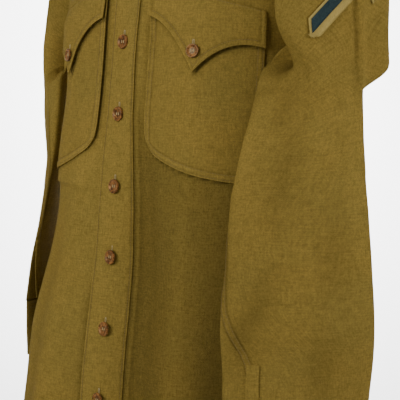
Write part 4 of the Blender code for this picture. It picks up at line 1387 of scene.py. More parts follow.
def stitch_dent(from_edge):
    """The groove along a laid piece's edge stitches."""
    return STITCH_DENT * near(from_edge - EDGE_STITCH, STITCH_DENT_WIDE)


def edge_columns(low, high, count):
    """Column places, close together at both edges and even between them."""
    inner = [blend(low + EDGE_CELLS[-1], high - EDGE_CELLS[-1], i / count)
             for i in range(1, count)]
    return ([low + d for d in EDGE_CELLS] + inner
            + [high - d for d in reversed(EDGE_CELLS)])


def placket_object():
    """The buttonhole strip on the left front's edge, from hem to neck."""
    places = edge_columns(-FRONT_EDGE, FRONT_EDGE, 16)
    rows = SQUARE_ROWS + TOP_ROWS

    def place(i, j):
        across = places[i]
        level = panel_level(abs(across), j, FRONT_NECK_DEPTH)
        from_edge = FRONT_EDGE - abs(across)
        pucker = noise.noise(Vector((math.copysign(2.0, across), level * PUCKER_SCALE, 3.0)))
        out = laid_out(from_edge) + 0.0003 * pucker * near(from_edge - EDGE_STITCH, 0.0030)
        out -= stitch_dent(from_edge)
        # Painted highlight along the placket's edges and painted shade along its stitches; the
        # whole strip is painted lighter, with half the folds' painted shade and highlight
        tone = stitched_painted_light(from_edge, EDGE_STITCH)
        tone += 0.10 + 0.5 * painted_fold_shading(across, level)
        return body_point(across, level, out), (across, level), tone

    thing = sheet_object("front_placket_cloth", len(places) - 1, rows, place, wall=LAID_WALL)
    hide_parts("front_placket")
    return thing


def pocket_object(name, side):
    """A patch pocket with a turned and twice stitched edge."""
    places = edge_columns(POCKET_INNER, POCKET_OUTER, 52)
    heights = POCKET_ROW_SHARES

    def place(i, j):
        distance = places[i]
        bottom = pocket_bottom(distance)
        top = POCKET_TOP - droop(distance)
        level = blend(bottom, top, heights[j])
        from_edge = min(distance - POCKET_INNER, POCKET_OUTER - distance, level - bottom)
        wave = Vector((distance * PUCKER_SCALE, level * PUCKER_SCALE, 6.0 + side))
        pucker = noise.noise(wave)
        band = ease((POCKET_BAND + 0.0010 - from_edge) / 0.0012)
        out = laid_out(from_edge) + POCKET_BAND_RISE * band * (1.0 + 0.5 * pucker)
        out -= stitch_dent(from_edge)
        # Painted highlight on the edge and the raised band, a painted shade line inside the band,
        # part of the folds' painted shade and highlight, and painted shadow under the flap
        tone = stitched_painted_light(from_edge, EDGE_STITCH) + 0.14 * band
        tone -= 0.45 * near(from_edge - POCKET_BAND - 0.0004, 0.0011)
        tone += 0.6 * painted_fold_shading(side * distance, level)
        tone += 1.2 * shadow_beside(flap_bottom(distance) - level, 0.0034)
        return body_point(side * distance, level, out), (side * distance, level), tone

    columns = len(places) - 1
    thing = sheet_object(name + "_cloth", columns, len(heights) - 1,
                         mirrored(side, columns, place), wall=LAID_WALL)
    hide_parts(name)
    return thing


def flap_place(side, distance, share, lift=0.0):
    """A point of a flap by its distance from the centre line and its share of the fall."""
    top = FLAP_TOP - droop(distance)
    level = blend(top, flap_bottom(distance), share)
    return body_point(side * distance, level, flap_out(share) + lift)


def flap_slope(distance):
    """How steeply a flap's free edge runs."""
    low = max(distance - NORMAL_STEP, POCKET_INNER)
    high = min(distance + NORMAL_STEP, POCKET_OUTER)
    return (flap_bottom(high) - flap_bottom(low)) / (high - low)


def flap_from_edge(distance, share):
    """How far a point of a flap lies from its free edge, measured square to it."""
    fall = (1.0 - share) * (FLAP_TOP - droop(distance) - flap_bottom(distance))
    return min(distance - POCKET_INNER, POCKET_OUTER - distance,
               fall / math.hypot(1.0, flap_slope(distance)))


def flap_object(name, side):
    """A pocket flap, cut to a point like a brace, with its stitched edge."""
    middle = blend(POCKET_INNER, POCKET_OUTER, FLAP_POINT_SHARE)
    places = edge_columns(POCKET_INNER, middle, 26)[:-1] + edge_columns(
        middle, POCKET_OUTER, 28)

    def place(i, j):
        distance, share = places[i], FLAP_ROW_SHARES[j]
        from_edge = flap_from_edge(distance, share)
        pucker = noise.noise(Vector((distance * 100.0, share * 9.0, 9.0 + side)))
        lift = -0.0003 * near(from_edge, 0.0012)
        lift += 0.0005 * near(from_edge - 0.0030, 0.0022) * (1.0 + 0.4 * pucker)
        lift -= 0.0004 * near(from_edge - FLAP_STITCH_IN, 0.0011)
        # Painted highlight along the flap's edge, painted shade along its stitches, and the whole
        # flap painted a little lighter
        tone = stitched_painted_light(from_edge, FLAP_STITCH_IN) + 0.06
        level = blend(FLAP_TOP - droop(distance), flap_bottom(distance), share)
        return flap_place(side, distance, share, lift), (side * distance, level), tone

    columns = len(places) - 1
    thing = sheet_object(name + "_cloth", columns, len(FLAP_ROW_SHARES) - 1,
                         mirrored(side, columns, place), wall=LAID_WALL)
    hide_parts(name)
    return thing


# Sleeves, cuffs, their strips and the chevron

def tube_object(name, surface):
    """The shell of a sleeve or cuff, from its surface."""
    last = len(surface.rows) - 1
    side = 1 if name.startswith("left") else -1

    def place(i, j):
        k = last - j
        column = (-side * i) % surface.count
        uv = (surface.widths[k] * side * (i / surface.count - 0.5), -surface.depths[k])
        return surface.rows[k][column], uv, tube_painted_light(name, surface, k, column)

    thing = sheet_object(name + "_cloth", surface.count, last, place, closed=True)
    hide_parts(name)
    return thing


def tube_painted_light(name, surface, k, i):
    """Painted highlight along the sleeve's pressed fold, and painted shade beside the seam and at
    the ends.
    """
    row = surface.rows[k]
    tone = surface.tones[k][i]
    if name.endswith("sleeve"):
        under = (row[i] - row[surface.under]).length
        beside = near(under - 0.5 * SEAM_BAND - 0.0006, 0.0011)
        tone -= 0.55 * beside * seam_seen(row[surface.under].z)
        tone += 0.14 * near((row[i] - row[0]).length, 0.014)
    end = min(surface.depths[k], surface.depths[-1] - surface.depths[k])
    return tone - 0.25 * near(end, 0.0020)


def strip_object(side_name):
    """The narrow strip down the sleeve opening, beside the underarm seam."""
    surface = tube(side_name + "_sleeve")
    side = SIDES[side_name]
    raise_by = ARMS[side_name].raise_by
    top = STRIP_TOP[side_name] + raise_by
    bottom = SLEEVE[-1].level + raise_by + STRIP_END_GAP
    columns, rows = 12, 36
    low, high = STRIP_TURNS[side_name][0], STRIP_TURNS[side_name][-1]

    def place(i, j):
        share = i / columns
        turn = blend(high, low, share) if side > 0 else blend(low, high, share)
        turn += STRIP_LEAN[side_name] * j / rows
        level = blend(bottom, top, j / rows)
        edge = min(share, 1.0 - share) * STRIP_WIDE
        out = LAID_OUT - 0.0004 * near(edge, 0.0012)
        point = surface.spot(turn, level, out)[0]
        # Painted highlight along the strip's edges
        return point, (share * STRIP_WIDE, level), 0.14 * near(edge, 0.0010)

    name = side_name + "_cuff_placket"
    thing = sheet_object(name + "_cloth", columns, rows, place, wall=LAID_WALL)
    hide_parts(name)
    return thing


def chevron_object():
    """The rank patch: two arms that meet on the shoulder fold, pointing up."""
    surface = tube("left_sleeve")
    low, high = CHEVRON_FROM, CHEVRON_TURNS[-1]

    def arms(rows, top, bottom, lift, ends):
        def place(i, j):
            below = blend(bottom, top, j / rows)
            cut = CHEVRON_CUT_TURN * below / CHEVRON_ARM_WIDTH
            turn = blend(high + cut - ends, low + ends, i / CHEVRON_COLUMNS)
            from_edge = min(below - top, bottom - below)
            level = chevron_level(surface, turn, below)
            out = lift - 0.0003 * near(from_edge, 0.0010)
            point = surface.spot(turn, level, out)[0]
            # Painted shade along each arm's lower edge and painted highlight along its upper edge
            tone = -0.4 * near(bottom - below, 0.0011) + 0.25 * near(below - top, 0.0008)
            return point, (turn * 0.001, -below), tone
        return place

    felt_out = CHEVRON_WALL + LAY_GAP
    patch = sheet_object("sleeve_chevron_felt", CHEVRON_COLUMNS, CHEVRON_ROWS, arms(
        CHEVRON_ROWS, 0.0, CHEVRON_ARM_WIDTH, felt_out, 0.0), "felt", CHEVRON_WALL)
    stripe = sheet_object("sleeve_chevron_stripe", CHEVRON_COLUMNS, STRIPE_ROWS, arms(
        STRIPE_ROWS, STRIPE_FROM, STRIPE_TO, felt_out + STRIPE_WALL, STRIPE_END),
        "stripe", STRIPE_WALL)
    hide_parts("sleeve_chevron")
    return patch


# Collar

def stand_rows():
    """The stand's rows, whose left end laps over its right end."""
    rows = []
    for k in range(STAND_ROWS + 1):
        height = k / STAND_ROWS
        row = []
        for point, away, turn in collar_frame():
            over = 2.0 * STAND_LAP * ease(1.0 - turn / STAND_LAP_SHARE)
            under = STAND_LAP * ease((turn - 1.0) / STAND_LAP_SHARE + 1.0)
            rise = Vector((0.0, 0.0, STAND_RISE + height * STAND_HEIGHT))
            row.append(point + away * (over - under - STAND_LEAN * height) + rise)
        rows.append(row)
    return rows


def smooth_through(points, share):
    """A place on a smooth curve through the points, by its share of their count."""
    position = clamp(share) * (len(points) - 1)
    k = min(int(position), len(points) - 2)
    t = position - k
    p = points[k]
    q = points[k + 1]
    before = points[k - 1] if k > 0 else p * 2.0 - q
    after = points[k + 2] if k + 2 < len(points) else q * 2.0 - p
    return 0.5 * (p * 2.0 + (q - before) * t + (before * 2.0 - p * 5.0 + q * 4.0 - after)
                  * t**2 + (p * 3.0 - before - q * 3.0 + after) * t**3)


def leaf_column(away, top, turn):
    """The leaf's points in one column: the roll over the stand, then the fall."""
    points = [top + away * out + Vector((0.0, 0.0, up)) for out, up in LEAF_ROLL]
    roll_out, roll_up = LEAF_ROLL[-1]
    to_front = abs(turn - 0.5) * 2.0
    grown = ease((to_front - LEAF_GROWS_FROM) / (1.0 - LEAF_GROWS_FROM))
    fall = blend(LEAF_BACK, LEAF_FRONT, grown)
    spread = blend(LEAF_SPREAD_BACK, LEAF_SPREAD_FRONT, grown)
    for share in LEAF_FALL_SHARES:
        wave = 0.0006 * noise.noise(top * 30.0 + Vector((share, 0.0, 0.0)))
        points.append(top + away * (blend(roll_out, spread, share) + wave)
                      + Vector((0.0, 0.0, roll_up - fall * share)))
    return points


def collar_objects():
    """The stand and the leaf that rolls over it."""
    frame_points = collar_frame()
    rows = stand_rows()
    last = len(frame_points) - 1

    def stand_place(i, j):
        turn = last - i
        edge = min(j, STAND_ROWS - j) / STAND_ROWS * STAND_HEIGHT
        # Painted highlight along the stand's edges and painted shade along its stitches
        tone = stitched_painted_light(edge, EDGE_STITCH)
        return rows[j][turn], (i * COLLAR_CELL, j * STAND_HEIGHT / STAND_ROWS), tone

    chosen = range(LEAF_STARTS_AT, len(frame_points) - LEAF_STARTS_AT)
    falls = [leaf_column(frame_points[i][1], rows[-1][i], frame_points[i][2])
             for i in chosen]

    def leaf_place(i, j):
        share = j / LEAF_ROWS
        column = falls[len(falls) - 1 - i]
        point = smooth_through(column, share)
        edge = min((1.0 - share) * LEAF_FRONT, i * COLLAR_CELL,
                   (len(falls) - 1 - i) * COLLAR_CELL)
        uv = (i * COLLAR_CELL, -share * LEAF_FRONT)
        # Painted highlight along the leaf's edges and painted shade along its stitches
        return point, uv, stitched_painted_light(edge, LEAF_STITCH_IN)

    stand = sheet_object("collar_stand_cloth", last, STAND_ROWS, stand_place)
    leaf = sheet_object("collar_leaf_cloth", len(falls) - 1, LEAF_ROWS, leaf_place)
    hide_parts("collar_stand")
    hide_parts("collar_leaf")


# Buttons and their holes

def facing(point, normal, up=Vector((0.0, 0.0, 1.0))):
    """A matrix that stands a turned piece on a point, with its Y axis kept upright."""
    z = normal.normalized()
    x = up.cross(z).normalized()
    y = z.cross(x)
    return Matrix.Translation(point) @ Matrix((x, y, z)).transposed().to_4x4()


def button_mesh():
    """A four-hole button of radius 1 with a raised rim and a dished middle."""
    shape = bmesh.new()
    verts = [shape.verts.new((radius, 0.0, height)) for radius, height in HORN_PROFILE]
    edges = [shape.edges.new(pair) for pair in zip(verts, verts[1:])]
    bmesh.ops.spin(shape, geom=verts + edges, cent=(0, 0, 0), axis=(0, 0, 1),
                   angle=2.0 * math.pi, steps=BUTTON_STEPS, use_merge=True)
    bmesh.ops.remove_doubles(shape, verts=shape.verts, dist=0.0001)
    bmesh.ops.recalc_face_normals(shape, faces=shape.faces)
    blank = bpy.data.meshes.new("button_blank")
    shape.to_mesh(blank)
    shape.free()
    cutters = bmesh.new()
    for quarter_turn in range(4):
        angle = math.radians(45.0 + 90.0 * quarter_turn)
        spot = Vector((math.cos(angle), math.sin(angle), 0.0)) * HOLE_OUT
        bmesh.ops.create_cone(cutters, cap_ends=True, segments=12, radius1=HOLE_RADIUS,
                              radius2=HOLE_RADIUS, depth=2.0,
                              matrix=Matrix.Translation(spot))
    holes = bpy.data.meshes.new("button_holes")
    cutters.to_mesh(holes)
    cutters.free()
    body = bpy.data.objects.new("button_blank", blank)
    cutter = bpy.data.objects.new("button_holes", holes)
    for thing in (body, cutter):
        bpy.context.scene.collection.objects.link(thing)
    cut = body.modifiers.new("Holes", "BOOLEAN")
    cut.operation = "DIFFERENCE"
    cut.solver = "EXACT"
    cut.object = cutter
    graph = bpy.context.evaluated_depsgraph_get()
    made = bpy.data.meshes.new_from_object(body.evaluated_get(graph))
    for thing in (body, cutter):
        bpy.data.objects.remove(thing, do_unlink=True)
    return made


def button_places():
    """Each button's node, place, direction out and radius."""
    found = []
    for i, level in enumerate(BUTTON_LEVELS):
        point = body_point(0.0, level, LAID_OUT + BUTTON_GAP)
        found.append(("front_button_%d" % (i + 1), point, body_normal(0.0, level),
                      BUTTON_RADIUS))
    middle = blend(POCKET_INNER, POCKET_OUTER, FLAP_POINT_SHARE)
    fall = FLAP_TOP - droop(middle) - flap_bottom(middle)
    share = 1.0 - FLAP_BUTTON_UP / fall
    for name, side in SIDES.items():
        point = flap_place(side, middle, share, BUTTON_GAP)
        step = 0.05
        up = flap_place(side, middle, share - step) - flap_place(side, middle, share + step)
        out_side = (flap_place(side, middle + NORMAL_STEP, share)
                    - flap_place(side, middle - NORMAL_STEP, share))
        normal = out_side.cross(up).normalized() * side
        found.append((name + "_flap_button", point, normal, SMALL_BUTTON_RADIUS))
        cuff = tube(name + "_cuff")
        level = 0.5 * (cuff.rows[0][0].z + cuff.rows[-1][0].z)
        point, normal = cuff.spot(CUFF_BUTTON_TURN[name], level, BUTTON_GAP)
        found.append((name + "_cuff_button", point, normal, SMALL_BUTTON_RADIUS))
    rows = stand_rows()
    column = COLLAR_BUTTON_COLUMN
    middle_row = STAND_ROWS // 2
    along = rows[middle_row][column + 1] - rows[middle_row][column - 1]
    upward = rows[-1][column] - rows[0][column]
    normal = along.cross(upward).normalized()
    point = rows[middle_row][column] + normal * BUTTON_GAP
    found.append(("collar_button", point, normal, SMALL_BUTTON_RADIUS))
    return found


def threads(ends, radius):
    """A bmesh of threads from point to point, each a stretched ball."""
    shape = bmesh.new()
    for first in range(0, len(ends), THREADS_AT_ONCE):
        some = bmesh.new()
        for start, end in ends[first:first + THREADS_AT_ONCE]:
            along = end - start
            turn = Vector((0.0, 0.0, 1.0)).rotation_difference(along)
            size = Matrix.Diagonal((radius, radius, 0.5 * along.length + radius, 1.0))
            place = Matrix.Translation((start + end) * 0.5) @ turn.to_matrix().to_4x4() @ size
            bmesh.ops.create_uvsphere(some, u_segments=6, v_segments=3, radius=1.0,
                                      matrix=place)
        mesh = bpy.data.meshes.new("some_threads")
        some.to_mesh(mesh)
        some.free()
        shape.from_mesh(mesh)
        bpy.data.meshes.remove(mesh)
    return shape


def button_objects():
    """Every button, with the thread that crosses its holes."""
    unit = button_mesh()
    for name, point, normal, radius in button_places():
        stand = facing(point, normal)
        shape = bmesh.new()
        shape.from_mesh(unit)
        size = Matrix.Diagonal((radius, radius, BUTTON_THICK, 1.0))
        bmesh.ops.transform(shape, matrix=stand @ size, verts=shape.verts)
        thing = new_object(name + "_horn", shape, "horn")
        thing.data.set_sharp_from_angle(angle=BUTTON_SHARP_FROM)
        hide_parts(name)
        ends = []
        reach = HOLE_OUT * radius * math.sin(math.radians(45.0))
        height = BUTTON_THICK * THREAD_HEIGHT
        for x in (-reach, reach):
            for k in range(-1, 2):
                shift = x + k * THREAD_RADIUS * THREAD_SPACING
                start = stand @ Vector((shift, -reach - THREAD_ENDS, height))
                end = stand @ Vector((shift, reach + THREAD_ENDS, height))
                ends.append((start, end))
        new_object(name + "_thread", threads(ends, THREAD_RADIUS), "cream")


def buttonhole(centre, normal, up, length):
    """The whip stitches round an upright slit, from end to end."""
    ends = []
    stand = facing(centre, normal, up)
    half = 0.5 * length
    for k in range(BUTTONHOLE_STITCHES):
        y = blend(-half, half, k / (BUTTONHOLE_STITCHES - 1))
        for x in (-1.0, 1.0):
            start = stand @ Vector((x * 0.0003, y, 0.0))
            end = stand @ Vector((x * BUTTONHOLE_WIDE, y + 0.0001, 0.0))
            ends.append((start, end))
    for end_y in (-half, half):
        for k in range(BUTTONHOLE_END_STITCHES):
            angle = math.pi * k / (BUTTONHOLE_END_STITCHES - 1)
            x = math.cos(angle) * BUTTONHOLE_WIDE
            y = end_y + math.copysign(math.sin(angle) * BUTTONHOLE_WIDE, end_y)
            ends.append((stand @ Vector((0.0, end_y, 0.0)), stand @ Vector((x, y, 0.0))))
    return ends


def buttonhole_objects():
    """A sewn hole behind each button of the placket, the flaps, the cuffs and the stand."""
    for name, point, normal, radius in button_places():
        up = Vector((0.0, 0.0, 1.0))
        if "cuff" in name or "collar" in name:
            up = normal.cross(up)
        centre = point - normal * BUTTON_GAP + up * HOLE_SHIFT
        ends = buttonhole(centre, normal, up, 2.0 * radius + BUTTONHOLE_MORE)
        new_object(name + "_hole", threads(ends, BUTTONHOLE_THREAD), "cream")


# Sewing

def stitch_object(name, lines, kind="thread"):
    """Stitches along lines of (point, direction out), evenly spaced."""
    sewing = bpy.context.scene.shirt_sewing
    step = sewing.stitch + sewing.gap
    stitches = []
    for line in lines:
        points = [point for point, normal in line]
        reached = [0.0]
        for a, b in zip(points, points[1:]):
            reached.append(reached[-1] + (b - a).length)
        count = int(reached[-1] / step)
        for k in range(count):
            ends = []
            for distance in (k * step, k * step + sewing.stitch):
                j = min(max(bisect.bisect_left(reached, distance), 1), len(points) - 1)
                share = (distance - reached[j - 1]) / max(reached[j] - reached[j - 1], TINY)
                ends.append(points[j - 1].lerp(points[j], clamp(share)))
            stitches.append(ends)
    return new_object(name, threads(stitches, sewing.thread), kind)


def body_line(places, out):
    """A line on the body through (across, level) places."""
    return [(body_point(across, level, out), body_normal(across, level))
            for across, level in places]


def levels_between(low, high, step=0.004):
    count = max(int(abs(high - low) / step), 2)
    return [blend(low, high, k / count) for k in range(count + 1)]


def sew_fronts():
    """The side seams, armholes, shoulders and hem."""
    lines = []
    for side in (1, -1):
        levels = levels_between(HEM_LEVEL + 0.002, -0.004)
        for inside in (EDGE_STITCH, SEAM_BAND - 0.001):
            places = [(side * (armhole_across(level, side, True) - SEAM_GAP - inside), level)
                      for level in levels]
            lines.append(body_line(places, SEAM_BAND_RISE + 0.0001))
        for down in (EDGE_STITCH, SEAM_BAND - 0.001):
            reach = [blend(NECK_HALF + 0.004, half_girth(-down, side) * 0.49, k / 40)
                     for k in range(41)]
            lines.append(body_line([(side * (half_girth(-down, side) - d), -down)
                                    for d in reach], SEAM_BAND_RISE + 0.0001))
    hem = HEM_LEVEL + HEM_DEEP - 0.0015
    for side in (1, -1):
        girth = half_girth(hem, side)
        places = [(side * blend(0.023, girth - 0.001, k / 150), hem) for k in range(151)]
        lines.append(body_line(places, SEAM_BAND_RISE + 0.0001))
    return stitch_object("body_seam_stitches", lines)


def sew_placket():
    """A line down each edge of the placket."""
    lines = []
    out = LAID_OUT - 0.0001
    for across in (-FRONT_EDGE + EDGE_STITCH, FRONT_EDGE - EDGE_STITCH):
        top = top_level(abs(across), FRONT_NECK_DEPTH)
        lines.append(body_line([(across, level) for level in
                                levels_between(HEM_LEVEL + 0.002, top)], out))
    return stitch_object("placket_stitches", lines)


def pocket_line(side, inside, out):
    """A line round a pocket's sides and bottom, at a distance inside its edge."""
    low, high = POCKET_INNER + inside, POCKET_OUTER - inside
    left = [(low, level) for level in levels_between(
        POCKET_TOP - droop(low) - 0.010, pocket_bottom(low) + inside)]
    bottom = [(blend(low, high, k / 60), pocket_bottom(blend(low, high, k / 60)) + inside)
              for k in range(61)]
    right = [(high, level) for level in levels_between(
        pocket_bottom(high) + inside, POCKET_TOP - droop(high) - 0.010)]
    return body_line([(side * a, level) for a, level in left + bottom + right], out)


def sew_pockets():
    """The double lines of the pockets, and the flaps' edges and tops."""
    made = []
    for name, side in SIDES.items():
        out = LAID_OUT
        lines = [pocket_line(side, EDGE_STITCH, out + 0.0003),
                 pocket_line(side, POCKET_BAND - 0.0005, out + POCKET_BAND_RISE)]
        made.append(stitch_object(name + "_pocket_stitches", lines))
        flap = []
        for k in range(81):
            low, high = POCKET_INNER + FLAP_STITCH_IN, POCKET_OUTER - FLAP_STITCH_IN
            distance = blend(low, high, k / 80)
            fall = FLAP_TOP - droop(distance) - flap_bottom(distance)
            share = 1.0 - FLAP_STITCH_IN * math.hypot(1.0, flap_slope(distance)) / fall
            flap.append((flap_place(side, distance, share, -0.0002),
                         body_normal(side * distance, FLAP_TOP)))
        top = [(flap_place(side, blend(POCKET_INNER + 0.002, POCKET_OUTER - 0.002, k / 50),
                           0.05, 0.0001), Vector((0.0, -1.0, 0.0))) for k in range(51)]
        made.append(stitch_object(name + "_flap_stitches", [flap, top]))
    return made


def sew_sleeves():
    """The felled seams, the sleeve heads and the cuffs' edges."""
    for name in ("left", "right"):
        surface = tube(name + "_sleeve")
        lines = [surface.down_seam(aside, 0.0002)
                 for aside in (-0.5 * SEAM_BAND + 0.0012, 0.5 * SEAM_BAND - 0.0012)]
        lines.append(surface.around(0.0025, 0.0001))
        stitch_object(name + "_sleeve_stitches", lines)
        cuff = tube(name + "_cuff")
        stitch_object(name + "_cuff_stitches", [
            cuff.around(0.0030, 0.0001), cuff.around(0.0090, 0.0001),
            cuff.around(-0.0030, 0.0001)])


def sew_collar():
    """A line along the stand's foot and one round the leaf's edge."""
    rows = stand_rows()
    stand = [[(point, Vector()) for point in rows[1]]]
    frame_points = collar_frame()
    chosen = range(LEAF_STARTS_AT + 1, len(frame_points) - LEAF_STARTS_AT - 1)
    share = 1.0 - LEAF_STITCH_IN / LEAF_FRONT
    line = [(smooth_through(leaf_column(frame_points[i][1], rows[-1][i], frame_points[i][2]),
                            share), Vector()) for i in chosen]
    stitch_object("collar_stitches", stand + [line])


# Stage

def sweep_mesh(settings):
    """A floor drawn out backwards that curves up into a backdrop."""
    shape = bmesh.new()
    start = shape.verts.new((-STAGE_HALF, -STAGE_HALF, 0.0))
    end = shape.verts.new((STAGE_HALF, -STAGE_HALF, 0.0))
    edge = shape.edges.new((start, end))

    def drawn_out(edges, move):
        grown = bmesh.ops.extrude_edge_only(shape, edges=edges)["geom"]
        verts = [part for part in grown if isinstance(part, bmesh.types.BMVert)]
        bmesh.ops.translate(shape, verts=verts, vec=move)
        return [part for part in grown if isinstance(part, bmesh.types.BMEdge)
                and all(vert in verts for vert in part.verts)]

    front = drawn_out([edge], Vector((0.0, STAGE_HALF + STAGE_BACK - STAGE_CURVE, 0.0)))
    last = 0.0
    for k in range(1, STAGE_CURVE_STEPS + 1):
        angle = 0.5 * math.pi * k / STAGE_CURVE_STEPS
        move = Vector((0.0, math.sin(angle) - math.sin(last), math.cos(last) - math.cos(angle)))
        front = drawn_out(front, move * STAGE_CURVE)
        last = angle
    drawn_out(front, Vector((0.0, 0.0, STAGE_HIGH)))
    turn = Matrix.Rotation(math.radians(settings.azimuth), 4, "Z")
    lower = Matrix.Translation((0.0, 0.0, settings.floor))
    bmesh.ops.transform(shape, matrix=lower @ turn, verts=shape.verts)
    bmesh.ops.recalc_face_normals(shape, faces=shape.faces)
    mesh = bpy.data.meshes.new("studio_sweep")
    shape.to_mesh(mesh)
    shape.free()
    mesh.shade_smooth()
    return mesh


def paper_finish(colour):
    """Matt studio paper with a fine grain."""
    finish, node, link, shader = shader_nodes("Studio_paper")
    grain = noise_from(node, link, node("ShaderNodeTexCoord"), PAPER_GRAIN)
    bumped(node, link, shader, grain, 0.03, 0.002)
    shader.inputs["Base Color"].default_value = tuple(colour) + (1.0,)
    shader.inputs["Roughness"].default_value = 0.95
    return finish


def towards(azimuth):
    """The level direction out from the shirt at an azimuth, 0 being its front."""
    angle = math.radians(azimuth)
    return Vector((math.sin(angle), -math.cos(angle), 0.0))


def light_objects(settings):
    """The soft lights on the shirt and on the backdrop, which the camera doesn't see."""
    middle = Vector((0.0, 0.0, EYE_LEVEL))
    for lamp in LAMPS:
        light = bpy.data.lights.new(lamp.name + "_light", "AREA")
        light.size = lamp.size
        light.energy = getattr(settings, lamp.name.split("_")[0])
        thing = bpy.data.objects.new(lamp.name + "_light", light)
        thing.visible_camera = False
        thing.location = (middle + towards(settings.azimuth + lamp.turn) * lamp.distance
                          + Vector((0.0, 0.0, lamp.height)))
        aims_at = middle
        if lamp.on_backdrop:
            light.spread = WASH_SPREAD
            aims_at = middle + towards(settings.azimuth + 180.0) * STAGE_BACK
        aim = aims_at - thing.location
        thing.rotation_euler = aim.to_track_quat("-Z", "Y").to_euler()
        bpy.context.scene.collection.objects.link(thing)


def stage_objects(settings):
    """A pale floor and backdrop, even light all round and the lights."""
    scene = bpy.context.scene
    mesh = sweep_mesh(settings)
    mesh.materials.append(paper_finish(settings.backdrop))
    sweep = bpy.data.objects.new("studio_sweep", mesh)
    scene.collection.objects.link(sweep)
    world = bpy.data.worlds.new("Studio")
    world.use_nodes = True
    background = world.node_tree.nodes["Background"]
    background.inputs["Color"].default_value = (1.0, 1.0, 1.0, 1.0)
    background.inputs["Strength"].default_value = settings.ambient
    scene.world = world
    light_objects(settings)


def camera_object(settings):
    """The camera at the photo's view, looking down a little."""
    turn = math.radians(settings.azimuth)
    pitch = math.atan(PHOTO_CENTRE_DROP_PIXELS / PHOTO_FOCAL_PIXELS)
    right = Vector((math.cos(turn), math.sin(turn), 0.0))
    back = Vector((math.sin(turn), -math.cos(turn), 0.0))
    lens = bpy.data.cameras.new("photo_camera")
    lens.sensor_width = SENSOR
    lens.lens = SENSOR * PHOTO_FOCAL_PIXELS / PHOTO_PIXELS
    camera = bpy.data.objects.new("photo_camera", lens)
    camera.location = (back * settings.distance + right * EYE_SHIFT
                       + Vector((0.0, 0.0, EYE_LEVEL)))
    away = back * math.cos(pitch) + Vector((0.0, 0.0, math.sin(pitch)))
    above = away.cross(right)
    camera.rotation_euler = Matrix((right, above, away)).transposed().to_euler()
    bpy.context.scene.collection.objects.link(camera)
    bpy.context.scene.camera = camera


# What a user may change

def colour_property(name, description, default):
    return FloatVectorProperty(name=name, description=description, subtype="COLOR",
                               default=default, min=0.0, max=1.0)


def power_property(name, description, default):
    return FloatProperty(name=name, description=description, unit="POWER",
                         default=default, min=0.0)


class ShirtCloth(bpy.types.PropertyGroup):
    """The wool cloth."""

    colour: colour_property("Wool", "Colour of the wool flannel", (0.240, 0.164, 0.036))
    nap: FloatProperty(name="Nap", description="How strongly the nap shows",
                       subtype="FACTOR", default=0.85, min=0.0, max=1.0)
    sheen: FloatProperty(name="Sheen", description="Soft glow of the fibres at grazing angles",
                         subtype="FACTOR", default=0.02, min=0.0, max=1.0)


class ShirtPatch(bpy.types.PropertyGroup):
    """The rank patch."""

    felt: colour_property("Felt", "Colour of the patch's felt", (0.43, 0.32, 0.095))
    stripe: colour_property("Stripe", "Colour of the patch's stripe", (0.030, 0.050, 0.052))


class ShirtButtons(bpy.types.PropertyGroup):
    """The horn buttons."""

    dark: colour_property("Horn", "Colour of the horn", (0.070, 0.025, 0.007))
    light: colour_property("Streaks", "Colour of the horn's streaks", (0.36, 0.155, 0.040))


class ShirtSewing(bpy.types.PropertyGroup):
    """The thread and its stitches."""

    thread: FloatProperty(name="Thread", description="Radius of the sewing thread",
                          unit="LENGTH", default=0.00026, min=0.0001, max=0.001)
    stitch: FloatProperty(name="Stitch", description="Length of a stitch", unit="LENGTH",
                          default=0.0022, min=0.001, max=0.006)
    gap: FloatProperty(name="Gap", description="Distance between stitches", unit="LENGTH",
                       default=0.0008, min=0.0002, max=0.004)
    colour: colour_property("Thread colour", "Colour of the stitches", (0.22, 0.15, 0.045))
    buttonhole: colour_property("Buttonhole thread", "Colour of the buttonholes' thread",
                                (0.42, 0.33, 0.15))


class ShirtStage(bpy.types.PropertyGroup):
    """The studio."""

    azimuth: FloatProperty(name="View", description="Camera's turn towards the wearer's left",
                           default=CAMERA_AZIMUTH)
    distance: FloatProperty(name="Distance", description="Camera's distance from the shirt",
                            unit="LENGTH", default=1.18, min=0.3)
    floor: FloatProperty(name="Floor", description="Level of the floor", unit="LENGTH",
                         default=-2.375)
    backdrop: colour_property("Backdrop", "Colour of the backdrop", (0.93, 0.93, 0.93))
    ambient: FloatProperty(name="Ambient", description="Strength of the light all round",
                           default=0.27, min=0.0)
    key: power_property("Key", "Power of the light from the front left", 19.0)
    fill: power_property("Fill", "Power of the light from the other side", 17.5)
    top: power_property("Top", "Power of the light from above", 4.0)
    wash: power_property("Backdrop light", "Power of the backdrop's lights", 260.0)


# Operators

class SHIRT_OT_fronts(bpy.types.Operator):
    """Make the two front panels"""
    bl_idname = "shirt.fronts"
    bl_label = "Fronts"

    def execute(self, context):
        front_object("left_front", 1)
        front_object("right_front", -1)
        return {"FINISHED"}


class SHIRT_OT_back(bpy.types.Operator):
    """Make the back panel"""
    bl_idname = "shirt.back"
    bl_label = "Back"

    def execute(self, context):
        back_object()
        return {"FINISHED"}


class SHIRT_OT_placket(bpy.types.Operator):
    """Make the buttonhole strip of the left front"""
    bl_idname = "shirt.placket"
    bl_label = "Placket"

    def execute(self, context):
        placket_object()
        return {"FINISHED"}


class SHIRT_OT_pockets(bpy.types.Operator):
    """Make the two chest pockets and their flaps"""
    bl_idname = "shirt.pockets"
    bl_label = "Pockets"

    def execute(self, context):
        for name, side in SIDES.items():
            pocket_object(name + "_pocket", side)
            flap_object(name + "_flap", side)
        return {"FINISHED"}


